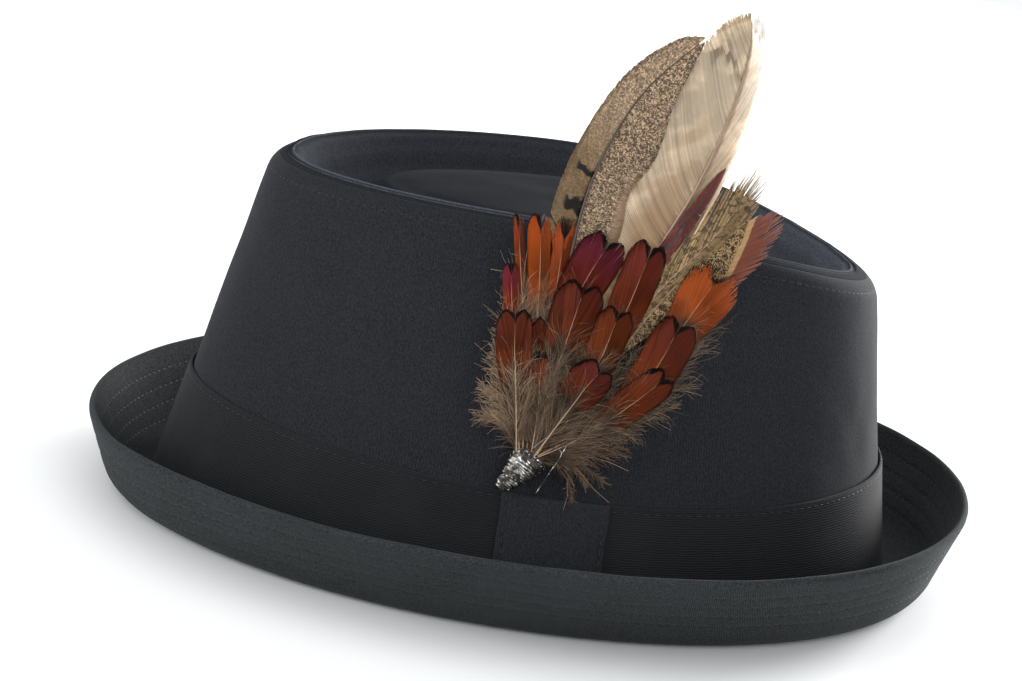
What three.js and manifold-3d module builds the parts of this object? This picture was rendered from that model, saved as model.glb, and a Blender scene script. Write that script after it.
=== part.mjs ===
// A porkpie hat of black cotton twill, with a stitched, turned-up brim, a ribbed hatband closed by a
// flat tab, and a feather plume whose bound stem sits on the band at the wearer's left.
// Millimetres, +Z up. The face looks along -Y, the back of the head along +Y, the wearer's left is +X.
// The origin is on the surface that the hat rests on, under the middle of the brim.
import * as THREE from "three";
import { mergeVertices } from "three/addons/utils/BufferGeometryUtils.js";
import Module from "manifold-3d";

const wasm = await Module();
wasm.setup();

// Ovals seen from above: half sizes, how far the middle lies towards the back, and the egg share by
// which the back half is wider than the front half.
const FOOT = { halfLength: 103.2, halfWidth: 85.5, middle: 0, egg: 0.05 }; // outside of the crown, on the brim
const RIM = { halfLength: 78.5, halfWidth: 59.2, middle: 1.7, egg: 0.06 }; // ridge round the top of the crown
const BRIM_REACH = { ends: 20.2, sides: 33.1 }; // from the crown's foot out to the lip, seen from above
const LIP = {
  halfLength: FOOT.halfLength + BRIM_REACH.ends,
  halfWidth: FOOT.halfWidth + BRIM_REACH.sides,
  middle: FOOT.middle,
  egg: 0.04,
};

// Heights above the resting surface, at the front, the sides and the back.
const RIM_HEIGHT = { front: 97.5, side: 99.2, back: 86.6 };
const LIP_HEIGHT = { front: 21, side: 24.5, back: 29.2 };
const BAND_TOP = { front: 35.3, side: 31.9, back: 35.5 };

const CROWN_CLOTH = 2; // twill, its stiffening and the seam allowance
const BRIM_CLOTH = 2.2; // two plies and the stiffening between them
const BAND_CLOTH = 1; // ribbed hatband, and the twill tab over it
const SEAM_GAP = 0.3; // between sewn pieces
const BRIM_FLAT = 5; // level part of the brim outside the crown
const BRIM_CURL = 10.4; // radius of the brim's upward turn, on its underside

// The rounded shoulder between the side and the ridge, softer at the front and back than at the sides.
const SHOULDER = { front: 6.7, side: 5.2, back: 9.1 };
const SEAM_ANGLE = 58; // degrees up the shoulder where the side is sewn to the tip

// The sunken channel inside the ridge and the dome that it leaves in the middle of the tip.
const CHANNEL_INSET = 12;
const CHANNEL_DEPTH = 14;
const DOME_RISE = 2.5; // how much the dome bulges over a flat one
const DOME_LEVEL = 0.85; // share by which the dome's middle follows the height of the sides, not front and back
const TIP_SECTION = [
  // shares of CHANNEL_INSET inwards from the ridge and of CHANNEL_DEPTH below it
  { inset: 0.17, drop: 0.06 },
  { inset: 0.33, drop: 0.3 },
  { inset: 0.55, drop: 0.75 },
  { inset: 0.8, drop: 0.96 },
  { inset: 1.1, drop: 1 },
  { inset: 1.45, drop: 0.84 },
  { inset: 1.8, drop: 0.56 },
  { inset: 2.2, drop: 0.4 },
  { inset: 2.9, drop: 0.36 },
];
const TIP_RINGS_INSIDE = [0.5]; // shares of the innermost ring above, towards the middle

// The flat tab over the ends of the hatband.
const TAB_WIDTH = 27.8;
const TAB_MIDDLE = -4.8; // towards the back, from the middle of the side

// The plume. Its frame starts where the feathers leave the bound stem: `across` runs to the back of the
// hat, `up` runs up the crown's side and `out` points away from it.
const PLUME_LENGTH = 127.5; // stem's head to the highest feather tip
const HEAD_ACROSS = -12.3; // towards the back, from the middle of the side
const HEAD_UP = 10.1; // above the top of the hatband
const STEM_OUT = 3.7; // stem's middle line from the crown's cloth
const STEM_LENGTH = 12;
const STEM_LEAN = 38; // degrees from `up` towards the back
const STEM_HEAD_RADIUS = 4.1;
const STEM_FOOT_RADIUS = 1.3;
const STEM_FLATNESS = 0.68; // depth of the stem as a share of its width
const HEAD_REACH = 5; // bundle of quills past the top of the binding
const BINDING_CLOTH = 0.6; // wound silver thread
const BLADE = 1; // thickness of a feather as a closed solid
const BLADE_STEPS = 7;

// Half-width along a feather, as a share of its full half-width, from root to tip.
const TALL_FORM = [0.12, 0.3, 0.72, 0.95, 1, 0.86, 0.56, 0.06];
const BODY_FORM = [0.16, 0.34, 0.55, 0.72, 0.9, 1, 0.88, 0.4];
const DOWN_FORM = [0.25, 0.6, 0.95, 1, 0.85, 0.65, 0.4, 0.12];

// Feathers and locks of down from the crown's side outwards. across, up and width are shares of
// PLUME_LENGTH, bow is the sideways bulge as a share of the feather's length, and out is how far the
// tip stands from the crown's cloth, in shares of PLUME_LENGTH too.
const FEATHERS = [
  { across: 0.336, up: 0.942, width: 0.19, bow: 0.042, out: 0.026, form: TALL_FORM }, // cream wing feather
  { across: 0.249, up: 0.881, width: 0.145, bow: -0.07, out: 0.04, form: TALL_FORM }, // brown barred one
  { across: 0.32, up: 0.617, width: 0.04, bow: -0.02, out: 0.034, form: BODY_FORM }, // maroon slip
  { across: 0.378, up: 0.616, width: 0.07, bow: 0, out: 0.042, form: BODY_FORM }, // striped buff
  { across: 0.416, up: 0.532, width: 0.13, bow: 0.03, out: 0.034, form: BODY_FORM }, // mottled fan
  { across: 0.014, up: 0.473, width: 0.07, bow: 0.02, out: 0.046, form: BODY_FORM }, // orange, behind
  { across: -0.053, up: 0.472, width: 0.05, bow: 0.05, out: 0.05, form: BODY_FORM }, // orange, left
  { across: 0.187, up: 0.449, width: 0.09, bow: 0.02, out: 0.052, form: BODY_FORM }, // red-brown pair
  { across: 0.355, up: 0.44, width: 0.14, bow: -0.02, out: 0.05, form: BODY_FORM }, // broad orange
  { across: 0.104, up: 0.444, width: 0.118, bow: -0.03, out: 0.06, form: BODY_FORM }, // crimson top
  { across: -0.082, up: 0.371, width: 0.05, bow: -0.02, out: 0.056, form: BODY_FORM }, // pink edge
  { across: 0.275, up: 0.318, width: 0.1, bow: 0.02, out: 0.068, form: BODY_FORM }, // crimson right
  { across: 0.066, up: 0.356, width: 0.098, bow: -0.03, out: 0.07, form: BODY_FORM }, // rust middle
  { across: 0.136, up: 0.315, width: 0.075, bow: 0, out: 0.074, form: BODY_FORM }, // orange middle
  { across: -0.066, up: 0.286, width: 0.082, bow: 0, out: 0.078, form: BODY_FORM }, // orange low left
  { across: 0.255, up: 0.198, width: 0.07, bow: -0.03, out: 0.07, form: BODY_FORM }, // rust low right
  { across: 0.133, up: 0.205, width: 0.094, bow: -0.02, out: 0.082, form: BODY_FORM }, // crimson low
  { across: 0.384, up: 0.33, width: 0.04, bow: 0.05, out: 0.04, form: DOWN_FORM },
  { across: 0.364, up: 0.281, width: 0.04, bow: 0.05, out: 0.046, form: DOWN_FORM },
  { across: 0.335, up: 0.212, width: 0.045, bow: 0.05, out: 0.05, form: DOWN_FORM },
  { across: 0.308, up: 0.165, width: 0.045, bow: 0.04, out: 0.054, form: DOWN_FORM },
  { across: 0.223, up: 0.094, width: 0.05, bow: 0.04, out: 0.05, form: DOWN_FORM },
  { across: 0.193, up: 0.036, width: 0.04, bow: -0.06, out: 0.045, form: DOWN_FORM },
  { across: 0.18, up: -0.058, width: 0.025, bow: -0.1, out: 0.045, form: DOWN_FORM },
  { across: 0.11, up: -0.097, width: 0.025, bow: -0.16, out: 0.04, form: DOWN_FORM },
  { across: -0.118, up: 0.246, width: 0.05, bow: -0.05, out: 0.05, form: DOWN_FORM },
  { across: -0.124, up: 0.134, width: 0.05, bow: 0.08, out: 0.05, form: DOWN_FORM },
  { across: -0.139, up: 0.078, width: 0.04, bow: 0.12, out: 0.045, form: DOWN_FORM },
];

const TURNS = 60; // facets round the head
const CURL_STEPS = 5; // facets across the brim's upward turn
const SHOULDER_STEPS = 2; // facets up the shoulder on each side of the seam
const STEM_SIDES = 12;

const turnOf = (column) => (2 * Math.PI * column) / TURNS; // 0 at the front, a quarter turn at +X

// A height or radius that differs at the front, the sides and the back.
function around(sizes, turn) {
  const ahead = Math.cos(turn);
  const end = ahead > 0 ? sizes.front : sizes.back;
  return sizes.side + (end - sizes.side) * ahead * ahead;
}

// The point of an oval, taken in by `inset`, at a height.
function ovalPoint(oval, turn, height, inset = 0) {
  const across = (oval.halfWidth - inset) * Math.sin(turn) * (1 - oval.egg * Math.cos(turn));
  return new THREE.Vector3(across, oval.middle - (oval.halfLength - inset) * Math.cos(turn), height);
}

// The crown's section at one turn: where its straight side ends and the shoulder's circle.
function crownSection(turn) {
  const foot = ovalPoint(FOOT, turn, BRIM_CLOTH + SEAM_GAP);
  const ridge = ovalPoint(RIM, turn, around(RIM_HEIGHT, turn));
  const radius = around(SHOULDER, turn);
  const outwards = foot.clone().sub(ridge).setZ(0);
  const run = outwards.length();
  outwards.normalize();
  const rise = ridge.z - radius - foot.z;
  const straight = Math.sqrt(run * run + rise * rise - radius * radius);
  const taper = Math.atan2(run, rise) - Math.atan2(radius, straight);
  return { foot, ridge, radius, outwards, straight, taper };
}

// A point of the crown's straight side, `share` of the way up it and `off` outside the cloth.
function sidePoint(turn, share, off = 0) {
  const { foot, outwards, straight, taper } = crownSection(turn);
  const climb = straight * share;
  return foot
    .clone()
    .addScaledVector(outwards, off * Math.cos(taper) - climb * Math.sin(taper))
    .setZ(foot.z + climb * Math.cos(taper) + off * Math.sin(taper));
}

// A point of the crown's side at a height, `off` outside the cloth.
function sidePointAt(turn, height, off = 0) {
  const { foot, straight, taper } = crownSection(turn);
  return sidePoint(turn, (height - off * Math.sin(taper) - foot.z) / (straight * Math.cos(taper)), off);
}

// A point of the shoulder, where the cloth faces `angle` degrees above level, `off` outside the cloth.
function shoulderPoint(turn, angle, off = 0) {
  const { ridge, radius, outwards } = crownSection(turn);
  const facing = THREE.MathUtils.degToRad(angle);
  return ridge
    .clone()
    .addScaledVector(outwards, (radius + off) * Math.cos(facing))
    .setZ(ridge.z - radius + (radius + off) * Math.sin(facing));
}

// A point of a grid, taken in by `thickness` along the normal of the surface.
function insideOf(grid, c, r, thickness) {
  const column = grid[c];
  const round = grid[(c + 1) % TURNS][r].clone().sub(grid[(c + TURNS - 1) % TURNS][r]);
  const along = column[Math.min(r + 1, column.length - 1)].clone().sub(column[Math.max(r - 1, 0)]);
  const normal = round.lengthSq() > 1e-6 ? round.cross(along).normalize() : new THREE.Vector3(0, 0, 1);
  return column[r].clone().addScaledVector(normal, -thickness);
}

// A cloth wall that goes round the head. `outer(turn, row)` gives its outer side from the bottom up, and
// `inner(turn, row)` its other side in the rows that it covers.
function roundWall(rows, thickness, outer, inner = () => null) {
  const grid = Array.from({ length: TURNS }, (_, c) =>
    Array.from({ length: rows }, (_, r) => outer(turnOf(c), r)),
  );
  const inside = grid.map((column, c) =>
    column.map((_, r) => inner(turnOf(c), r) ?? insideOf(grid, c, r, thickness)),
  );
  const closes = grid[0][rows - 1].distanceTo(grid[TURNS / 2][rows - 1]) > 1e-6;
  const loops = grid.map((column, c) => {
    const loop = column.concat([...inside[c]].reverse());
    return closes ? loop.concat([loop[0]]) : rotatedToAxis(loop, rows);
  });
  const blank = loops[0].map((_, i) => new THREE.Vector2(1, i));
  const geometry = new THREE.LatheGeometry(blank, TURNS);
  const position = geometry.getAttribute("position");
  for (let c = 0; c <= TURNS; c++)
    loops[c % TURNS].forEach((p, i) => position.setXYZ(c * blank.length + i, p.x, p.y, p.z));
  return geometry;
}

// A section that meets the axis twice, turned so that it starts and ends there.
const rotatedToAxis = (loop, rows) => loop.slice(rows).concat(loop.slice(0, rows));

// The underside of the brim: level by the crown, a round turn upwards, then straight to the lip.
function brimSurface(turn, row) {
  const inner = ovalPoint(FOOT, turn, 0, CROWN_CLOTH);
  const flatEnd = ovalPoint(FOOT, turn, 0, -BRIM_FLAT);
  if (row < 2) return row ? flatEnd : inner;
  const lip = ovalPoint(LIP, turn, around(LIP_HEIGHT, turn));
  const outwards = lip.clone().sub(flatEnd).setZ(0);
  const reach = outwards.length();
  outwards.normalize();
  const rise = lip.z - BRIM_CURL;
  const straight = Math.sqrt(reach * reach + rise * rise - BRIM_CURL * BRIM_CURL);
  const turned = Math.atan2(rise, reach) + Math.atan2(BRIM_CURL, straight);
  const step = Math.min(row - 1, CURL_STEPS);
  const angle = (turned * step) / CURL_STEPS;
  const onward = row - 1 > CURL_STEPS ? (straight * (row - 1 - CURL_STEPS)) / 2 : 0;
  return flatEnd
    .clone()
    .addScaledVector(outwards, BRIM_CURL * Math.sin(angle) + onward * Math.cos(angle))
    .setZ(BRIM_CURL * (1 - Math.cos(angle)) + onward * Math.sin(angle));
}

function brim() {
  return roundWall(CURL_STEPS + 4, BRIM_CLOTH, brimSurface);
}

// The side of the crown, from the brim to the seam on the shoulder.
function crownSide() {
  const surface = (off) => (turn, row) => {
    if (row === 0) return sidePointAt(turn, BRIM_CLOTH + SEAM_GAP, off);
    if (row < 3) return sidePoint(turn, row / 2, off);
    const start = THREE.MathUtils.radToDeg(crownSection(turn).taper);
    return shoulderPoint(turn, start + ((SEAM_ANGLE - start) * (row - 2)) / SHOULDER_STEPS, off);
  };
  return roundWall(3 + SHOULDER_STEPS, CROWN_CLOTH, surface(0), surface(-CROWN_CLOTH));
}

// The part of the tip between the seam and the ridge, `off` outside the cloth.
function tipShoulder(turn, row, off) {
  if (row > SHOULDER_STEPS) return null;
  const gap = THREE.MathUtils.radToDeg(SEAM_GAP / (crownSection(turn).radius - CROWN_CLOTH));
  const start = SEAM_ANGLE + gap;
  return shoulderPoint(turn, start + ((90 - start) * row) / SHOULDER_STEPS, off);
}

// The tip of the crown: from the seam over the ridge, down into the channel and up over the dome.
function tipSurface(turn, row) {
  if (row <= SHOULDER_STEPS) return tipShoulder(turn, row, 0);
  const ring = row - SHOULDER_STEPS - 1;
  const { inset, drop } = TIP_SECTION[Math.min(ring, TIP_SECTION.length - 1)];
  const inwards = [1, ...TIP_RINGS_INSIDE, 0][Math.max(0, ring - TIP_SECTION.length + 1)];
  const point = ovalPoint(RIM, turn, 0, inset * CHANNEL_INSET);
  point.set(point.x * inwards, RIM.middle + (point.y - RIM.middle) * inwards, 0);
  const ends = (RIM_HEIGHT.front + RIM_HEIGHT.back) / 2;
  const middle = ends + (RIM_HEIGHT.side - ends) * DOME_LEVEL;
  const outness = Math.hypot(point.x / RIM.halfWidth, (point.y - RIM.middle) / RIM.halfLength);
  const level = middle + (around(RIM_HEIGHT, turn) - middle) * outness * outness;
  return point.setZ(level - drop * CHANNEL_DEPTH + DOME_RISE * Math.max(0, 1 - outness * outness) * drop);
}

function crownTip() {
  const rows = SHOULDER_STEPS + 1 + TIP_SECTION.length + TIP_RINGS_INSIDE.length + 1;
  return roundWall(rows, CROWN_CLOTH, tipSurface, (turn, row) => tipShoulder(turn, row, -CROWN_CLOTH));
}

// The hatband, round the foot of the crown.
function hatband() {
  const bottom = BRIM_CLOTH + SEAM_GAP;
  const surface = (off) => (turn, row) => sidePointAt(turn, row ? around(BAND_TOP, turn) : bottom, off);
  return roundWall(2, BAND_CLOTH, surface(SEAM_GAP + BAND_CLOTH), surface(SEAM_GAP));
}

// The tab: a flat strip bent to the band, standing on the brim and as high as the band.
function bandTab() {
  const geometry = new THREE.BoxGeometry(BAND_CLOTH, TAB_WIDTH, 1, 1, 8, 2);
  const position = geometry.getAttribute("position");
  const bottom = BRIM_CLOTH + SEAM_GAP;
  for (let i = 0; i < position.count; i++) {
    const towardsBack = TAB_MIDDLE + position.getY(i);
    const turn = Math.PI / 2 + Math.asin(towardsBack / FOOT.halfLength);
    const share = position.getZ(i) + 0.5;
    const height = bottom + (around(BAND_TOP, turn) - bottom) * share;
    const off = 2 * SEAM_GAP + BAND_CLOTH * 1.5 + position.getX(i);
    const point = sidePointAt(turn, height, off);
    position.setXYZ(i, point.x, towardsBack, point.z);
  }
  return geometry;
}

// The plume's frame, on the crown's left side.
function plumeFrame() {
  const turn = Math.PI / 2 + Math.asin(HEAD_ACROSS / FOOT.halfLength);
  const { taper } = crownSection(turn);
  const up = new THREE.Vector3(-Math.sin(taper), 0, Math.cos(taper));
  const out = new THREE.Vector3(Math.cos(taper), 0, Math.sin(taper));
  const across = new THREE.Vector3(0, 1, 0);
  const head = sidePointAt(turn, BAND_TOP.side + HEAD_UP).setY(HEAD_ACROSS);
  return { head, across, up, out };
}

// Turns a shape whose Y axis runs up the stem from its foot into its place on the hat.
function placeOnStem(geometry) {
  const { head, across, up, out } = plumeFrame();
  const lean = THREE.MathUtils.degToRad(STEM_LEAN);
  const along = up.clone().multiplyScalar(Math.cos(lean)).addScaledVector(across, Math.sin(lean));
  const sideways = along.clone().cross(out);
  const place = new THREE.Matrix4()
    .makeBasis(sideways, along, out.clone().multiplyScalar(STEM_FLATNESS))
    .setPosition(head.addScaledVector(along, -STEM_LENGTH).addScaledVector(out, STEM_OUT));
  return geometry.applyMatrix4(place);
}

const stemRadius = (along) =>
  STEM_FOOT_RADIUS + ((STEM_HEAD_RADIUS - STEM_FOOT_RADIUS) * along) / STEM_LENGTH;

// The bundle of quills inside the binding, with a rounded head that the feathers grow from.
function quillBundle() {
  const top = stemRadius(STEM_LENGTH);
  const profile = [
    [0, -SEAM_GAP],
    [stemRadius(0), -SEAM_GAP],
    [top, STEM_LENGTH],
    [top, STEM_LENGTH + HEAD_REACH / 2],
    [top / 2, STEM_LENGTH + HEAD_REACH],
    [0, STEM_LENGTH + HEAD_REACH],
  ].map(([radius, along]) => new THREE.Vector2(radius, along));
  return placeOnStem(new THREE.LatheGeometry(profile, STEM_SIDES));
}

// The silver thread wound round the stem.
function binding() {
  const gap = SEAM_GAP / STEM_FLATNESS;
  const wall = gap + BINDING_CLOTH;
  const profile = [
    [stemRadius(0) + gap, 0],
    [stemRadius(0) + wall, 0],
    [stemRadius(STEM_LENGTH) + wall, STEM_LENGTH],
    [stemRadius(STEM_LENGTH) + gap, STEM_LENGTH],
    [stemRadius(0) + gap, 0],
  ].map(([radius, along]) => new THREE.Vector2(radius, along));
  return placeOnStem(new THREE.LatheGeometry(profile, STEM_SIDES));
}

// One feather or lock of down: a thin blade with a bowed middle line, leaning off the crown's side.
function featherBlade({ across, up, width, bow, out, form }) {
  const frame = plumeFrame();
  const lean = THREE.MathUtils.degToRad(STEM_LEAN);
  const root = new THREE.Vector2(Math.sin(lean), Math.cos(lean)).multiplyScalar(HEAD_REACH * 0.6);
  const tip = new THREE.Vector2(across, up).multiplyScalar(PLUME_LENGTH);
  const reach = tip.clone().sub(root);
  const bulge = new THREE.Vector2(reach.y, -reach.x).multiplyScalar(2 * bow);
  const control = root.clone().add(tip).multiplyScalar(0.5).add(bulge);
  const line = new THREE.QuadraticBezierCurve(root, control, tip);
  const edge = (side) =>
    form.map((share, i) => {
      const t = i / BLADE_STEPS;
      const tangent = line.getTangent(t);
      const half = (side * share * width * PLUME_LENGTH) / 2;
      return line.getPoint(t).add(new THREE.Vector2(-tangent.y, tangent.x).multiplyScalar(half));
    });
  const shape = new THREE.Shape([...edge(-1), ...edge(1).reverse()]);
  const geometry = new THREE.ExtrudeGeometry(shape, { depth: BLADE, bevelEnabled: false });
  geometry.translate(-root.x, -root.y, -BLADE / 2);
  const lift = out * PLUME_LENGTH - STEM_OUT;
  const leanOff = (share) => frame.out.clone().multiplyScalar((lift * share) / reach.lengthSq());
  const start = frame.head
    .clone()
    .addScaledVector(frame.across, root.x)
    .addScaledVector(frame.up, root.y)
    .addScaledVector(frame.out, STEM_OUT);
  const place = new THREE.Matrix4()
    .makeBasis(frame.across.clone().add(leanOff(reach.x)), frame.up.clone().add(leanOff(reach.y)), frame.out)
    .setPosition(start);
  return geometry.applyMatrix4(place);
}

// A mesh's geometry as a solid, and a solid as a geometry.
function solidOf(geometry) {
  const bare = geometry.index ? geometry.toNonIndexed() : geometry;
  const positions = new THREE.BufferGeometry().setAttribute("position", bare.getAttribute("position"));
  const merged = mergeVertices(positions, 1e-4);
  const triVerts = new Uint32Array(merged.index.array);
  const vertProperties = merged.getAttribute("position").array;
  const solid = new wasm.Manifold(new wasm.Mesh({ numProp: 3, vertProperties, triVerts }));
  if (solid.volume() > 0) return solid;
  for (let i = 0; i < triVerts.length; i += 3)
    [triVerts[i + 1], triVerts[i + 2]] = [triVerts[i + 2], triVerts[i + 1]];
  return new wasm.Manifold(new wasm.Mesh({ numProp: 3, vertProperties, triVerts }));
}

function geometryOf(solid) {
  const { vertProperties, triVerts } = solid.getMesh();
  const geometry = new THREE.BufferGeometry();
  geometry.setAttribute("position", new THREE.BufferAttribute(new Float32Array(vertProperties), 3));
  geometry.setIndex(new THREE.BufferAttribute(new Uint32Array(triVerts), 1));
  geometry.computeVertexNormals();
  return geometry;
}

// All feathers and locks of down, fused to the bundle of quills.
function plume() {
  const blades = FEATHERS.map((feather) => solidOf(featherBlade(feather)));
  return geometryOf(blades.reduce((whole, blade) => whole.add(blade), solidOf(quillBundle())));
}

const twill = new THREE.MeshStandardMaterial({ color: 0x24272b, roughness: 0.92, metalness: 0 });
const ribbed = new THREE.MeshStandardMaterial({ color: 0x1b1e22, roughness: 0.85, metalness: 0 });
const feathered = new THREE.MeshStandardMaterial({ color: 0x9a4a22, roughness: 0.7, metalness: 0 });
const silver = new THREE.MeshStandardMaterial({ color: 0xc9c6bd, roughness: 0.3, metalness: 1 });

const hat = new THREE.Group();
for (const [name, geometry, material] of [
  ["brim", brim(), twill],
  ["crown_side", crownSide(), twill],
  ["crown_tip", crownTip(), twill],
  ["hatband", hatband(), ribbed],
  ["band_tab", bandTab(), twill],
  ["plume", plume(), feathered],
  ["plume_binding", binding(), silver],
]) {
  const mesh = new THREE.Mesh(geometry, material);
  mesh.name = name;
  hat.add(mesh);
}

export default hat;
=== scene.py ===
"""A black cotton porkpie hat with a stitched, turned-up brim, a ribbed hatband and a feather plume.

Sizes here are in millimetres until a mesh is finished, and its points are then turned into metres.
The face looks along -Y, the back of the head along +Y, the wearer's left is +X, and Z points up.
A turn round the head is 0 at the front and a quarter turn at the wearer's left.
"""

import math
import random

import bmesh
import bpy
from bpy.props import FloatProperty, FloatVectorProperty, IntProperty, PointerProperty
from mathutils import Matrix, Vector, noise


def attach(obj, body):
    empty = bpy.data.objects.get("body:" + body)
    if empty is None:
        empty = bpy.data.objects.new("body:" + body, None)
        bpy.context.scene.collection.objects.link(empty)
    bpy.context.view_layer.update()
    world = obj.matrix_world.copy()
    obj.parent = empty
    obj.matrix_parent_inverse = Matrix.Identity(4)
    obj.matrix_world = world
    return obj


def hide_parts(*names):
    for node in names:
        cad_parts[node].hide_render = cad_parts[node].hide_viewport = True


bl_info = {
    "name": "Porkpie hat",
    "version": (1, 0, 0),
    "blender": (4, 5, 0),
    "location": "View3D > Sidebar > Hat",
    "description": "Makes a porkpie hat with a stitched brim, a ribbed band and a feather plume",
    "category": "Object",
}

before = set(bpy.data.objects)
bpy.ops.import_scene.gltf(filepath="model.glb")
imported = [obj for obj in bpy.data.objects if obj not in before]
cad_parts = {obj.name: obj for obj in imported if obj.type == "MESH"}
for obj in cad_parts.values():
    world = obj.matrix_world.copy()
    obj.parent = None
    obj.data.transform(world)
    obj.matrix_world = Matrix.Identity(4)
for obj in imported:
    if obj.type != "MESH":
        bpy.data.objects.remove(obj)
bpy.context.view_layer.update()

MM = 0.001
FULL_TURN = 2 * math.pi
SIDE_TURN = math.pi / 2

# Ovals seen from above: half length, half width, place of the middle and egg share.
FOOT = {"length": 103.2, "width": 85.5, "middle": 0.0, "egg": 0.05}
RIM = {"length": 78.5, "width": 59.2, "middle": 1.7, "egg": 0.06}
LIP = {"length": 123.4, "width": 118.6, "middle": 0.0, "egg": 0.04}

# Heights and radii at the front, the sides and the back.
RIM_HEIGHT = {"front": 97.5, "side": 99.2, "back": 86.6}
LIP_HEIGHT = {"front": 21.0, "side": 24.5, "back": 29.2}
BAND_TOP = {"front": 35.3, "side": 31.9, "back": 35.5}
SHOULDER = {"front": 6.7, "side": 5.2, "back": 9.1}

CROWN_CLOTH = 2.0
BRIM_CLOTH = 2.2
BAND_CLOTH = 1.0
SEAM_GAP = 0.3
BRIM_FLAT = 5.0
BRIM_CURL = 10.4
SEAM_ANGLE = 58.0

CHANNEL_INSET = 12.0
CHANNEL_DEPTH = 14.0
DOME_RISE = 2.5
DOME_LEVEL = 0.85
# Inset and drop below the ridge, as shares of the channel's inset and depth.
TIP_SECTION = (
    (0.0, 0.0),
    (0.17, 0.06),
    (0.33, 0.3),
    (0.55, 0.75),
    (0.8, 0.96),
    (1.1, 1.0),
    (1.45, 0.84),
    (1.8, 0.56),
    (2.2, 0.4),
    (2.9, 0.36),
)

TAB_WIDTH = 27.8
TAB_MIDDLE = -4.8

# The plume's frame: its origin is where the feathers leave the bound stem.
HEAD_ACROSS = -12.3
HEAD_UP = 10.1
STEM_OUT = 3.7
STEM_LENGTH = 12.0
STEM_LEAN = 38.0


def colour_of(dye, factor):
    """A dye made lighter or darker."""
    return tuple(part * factor for part in dye)


def clamp(value, low=0.0, high=1.0):
    return max(low, min(high, value))


def smooth(low, high, value):
    share = clamp((value - low) / (high - low))
    return share * share * (3 - 2 * share)


def mix(a, b, share):
    return a + (b - a) * share


def around(sizes, turn):
    """A size that differs at the front, the sides and the back."""
    ahead = math.cos(turn)
    end = sizes["front"] if ahead > 0 else sizes["back"]
    return sizes["side"] + (end - sizes["side"]) * ahead * ahead


def oval_point(oval, turn, height, inset=0.0):
    across = (oval["width"] - inset) * math.sin(turn) * (1 - oval["egg"] * math.cos(turn))
    return Vector((across, oval["middle"] - (oval["length"] - inset) * math.cos(turn), height))


def crown_section(turn):
    """The crown's section at one turn: foot, ridge, shoulder radius, outward way, straight run, taper."""
    foot = oval_point(FOOT, turn, BRIM_CLOTH + SEAM_GAP)
    ridge = oval_point(RIM, turn, around(RIM_HEIGHT, turn))
    radius = around(SHOULDER, turn)
    outwards = foot - ridge
    outwards.z = 0
    run = outwards.length
    outwards.normalize()
    rise = ridge.z - radius - foot.z
    straight = math.sqrt(run * run + rise * rise - radius * radius)
    taper = math.atan2(run, rise) - math.atan2(radius, straight)
    return foot, ridge, radius, outwards, straight, taper


def side_point(turn, share, off=0.0):
    foot, _, _, outwards, straight, taper = crown_section(turn)
    climb = straight * share
    point = foot + outwards * (off * math.cos(taper) - climb * math.sin(taper))
    point.z = foot.z + climb * math.cos(taper) + off * math.sin(taper)
    return point


def side_point_at(turn, height, off=0.0):
    foot, _, _, _, straight, taper = crown_section(turn)
    share = (height - off * math.sin(taper) - foot.z) / (straight * math.cos(taper))
    return side_point(turn, share, off)


def shoulder_point(turn, angle):
    _, ridge, radius, outwards, _, _ = crown_section(turn)
    facing = math.radians(angle)
    point = ridge + outwards * radius * math.cos(facing)
    point.z = ridge.z - radius + radius * math.sin(facing)
    return point


def curve_through(points, share):
    """A smooth curve through a few points, at a share of its length in steps."""
    last = len(points) - 1
    place = clamp(share, 0.0, 1.0) * last
    i = min(int(place), last - 1)
    t = place - i
    a = points[max(i - 1, 0)]
    b = points[i]
    c = points[i + 1]
    d = points[min(i + 2, last)]
    return tuple(
        0.5 * (2 * q + (r - p) * t + (2 * p - 5 * q + 4 * r - s) * t * t + (3 * q - p - 3 * r + s) * t**3)
        for p, q, r, s in zip(a, b, c, d)
    )


def table_at(table, share):
    """Reads a table of (share, value) rows, smoothly between the rows."""
    if share <= table[0][0]:
        return table[0][1]
    for (x0, y0), (x1, y1) in zip(table, table[1:]):
        if share <= x1:
            return mix(y0, y1, smooth(x0, x1, share))
    return table[-1][1]


def soft_noise(point, scale):
    return noise.noise(point * scale)


# Meshes


def spun_strip(rows, columns, closed=False):
    """A ring of faces round Z. Point heights number the rows, and angles give the turn."""
    bm = bmesh.new()
    verts = [bm.verts.new((0.0, -1.0, float(row))) for row in range(rows)]
    edges = [bm.edges.new(pair) for pair in zip(verts, verts[1:])]
    if closed:
        edges.append(bm.edges.new((verts[-1], verts[0])))
    bmesh.ops.spin(
        bm,
        geom=verts + edges,
        cent=(0, 0, 0),
        axis=(0, 0, 1),
        dvec=(0, 0, 0),
        angle=FULL_TURN,
        steps=columns,
        use_merge=True,
    )
    return bm


def strip_turn(point):
    return math.atan2(point.x, -point.y) % FULL_TURN


def shape_strip(bm, place, lay_out, painted_light_at=None):
    """Moves each point of a spun strip to place(turn, row), and unrolls it as lay_out(turn, row)."""
    layer = bm.loops.layers.uv.new("cloth")
    # Each point keeps the painted light (above 0) or painted shade (below 0) that the last argument gives.
    rub_wear_and_painted_light = bm.verts.layers.float.new("rub_wear_and_painted_light")
    for face in bm.faces:
        turns = [strip_turn(loop.vert.co) for loop in face.loops]
        rows = [round(loop.vert.co.z) for loop in face.loops]
        wraps = max(turns) - min(turns) > math.pi
        for loop, turn, row in zip(face.loops, turns, rows):
            whole = turn + FULL_TURN if wraps and turn < math.pi else turn
            loop[layer].uv = lay_out(whole, row)
    for vert in bm.verts:
        turn, row = strip_turn(vert.co), round(vert.co.z)
        vert[rub_wear_and_painted_light] = painted_light_at(turn, row) if painted_light_at else 0.0
        vert.co = place(turn, row)


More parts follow.
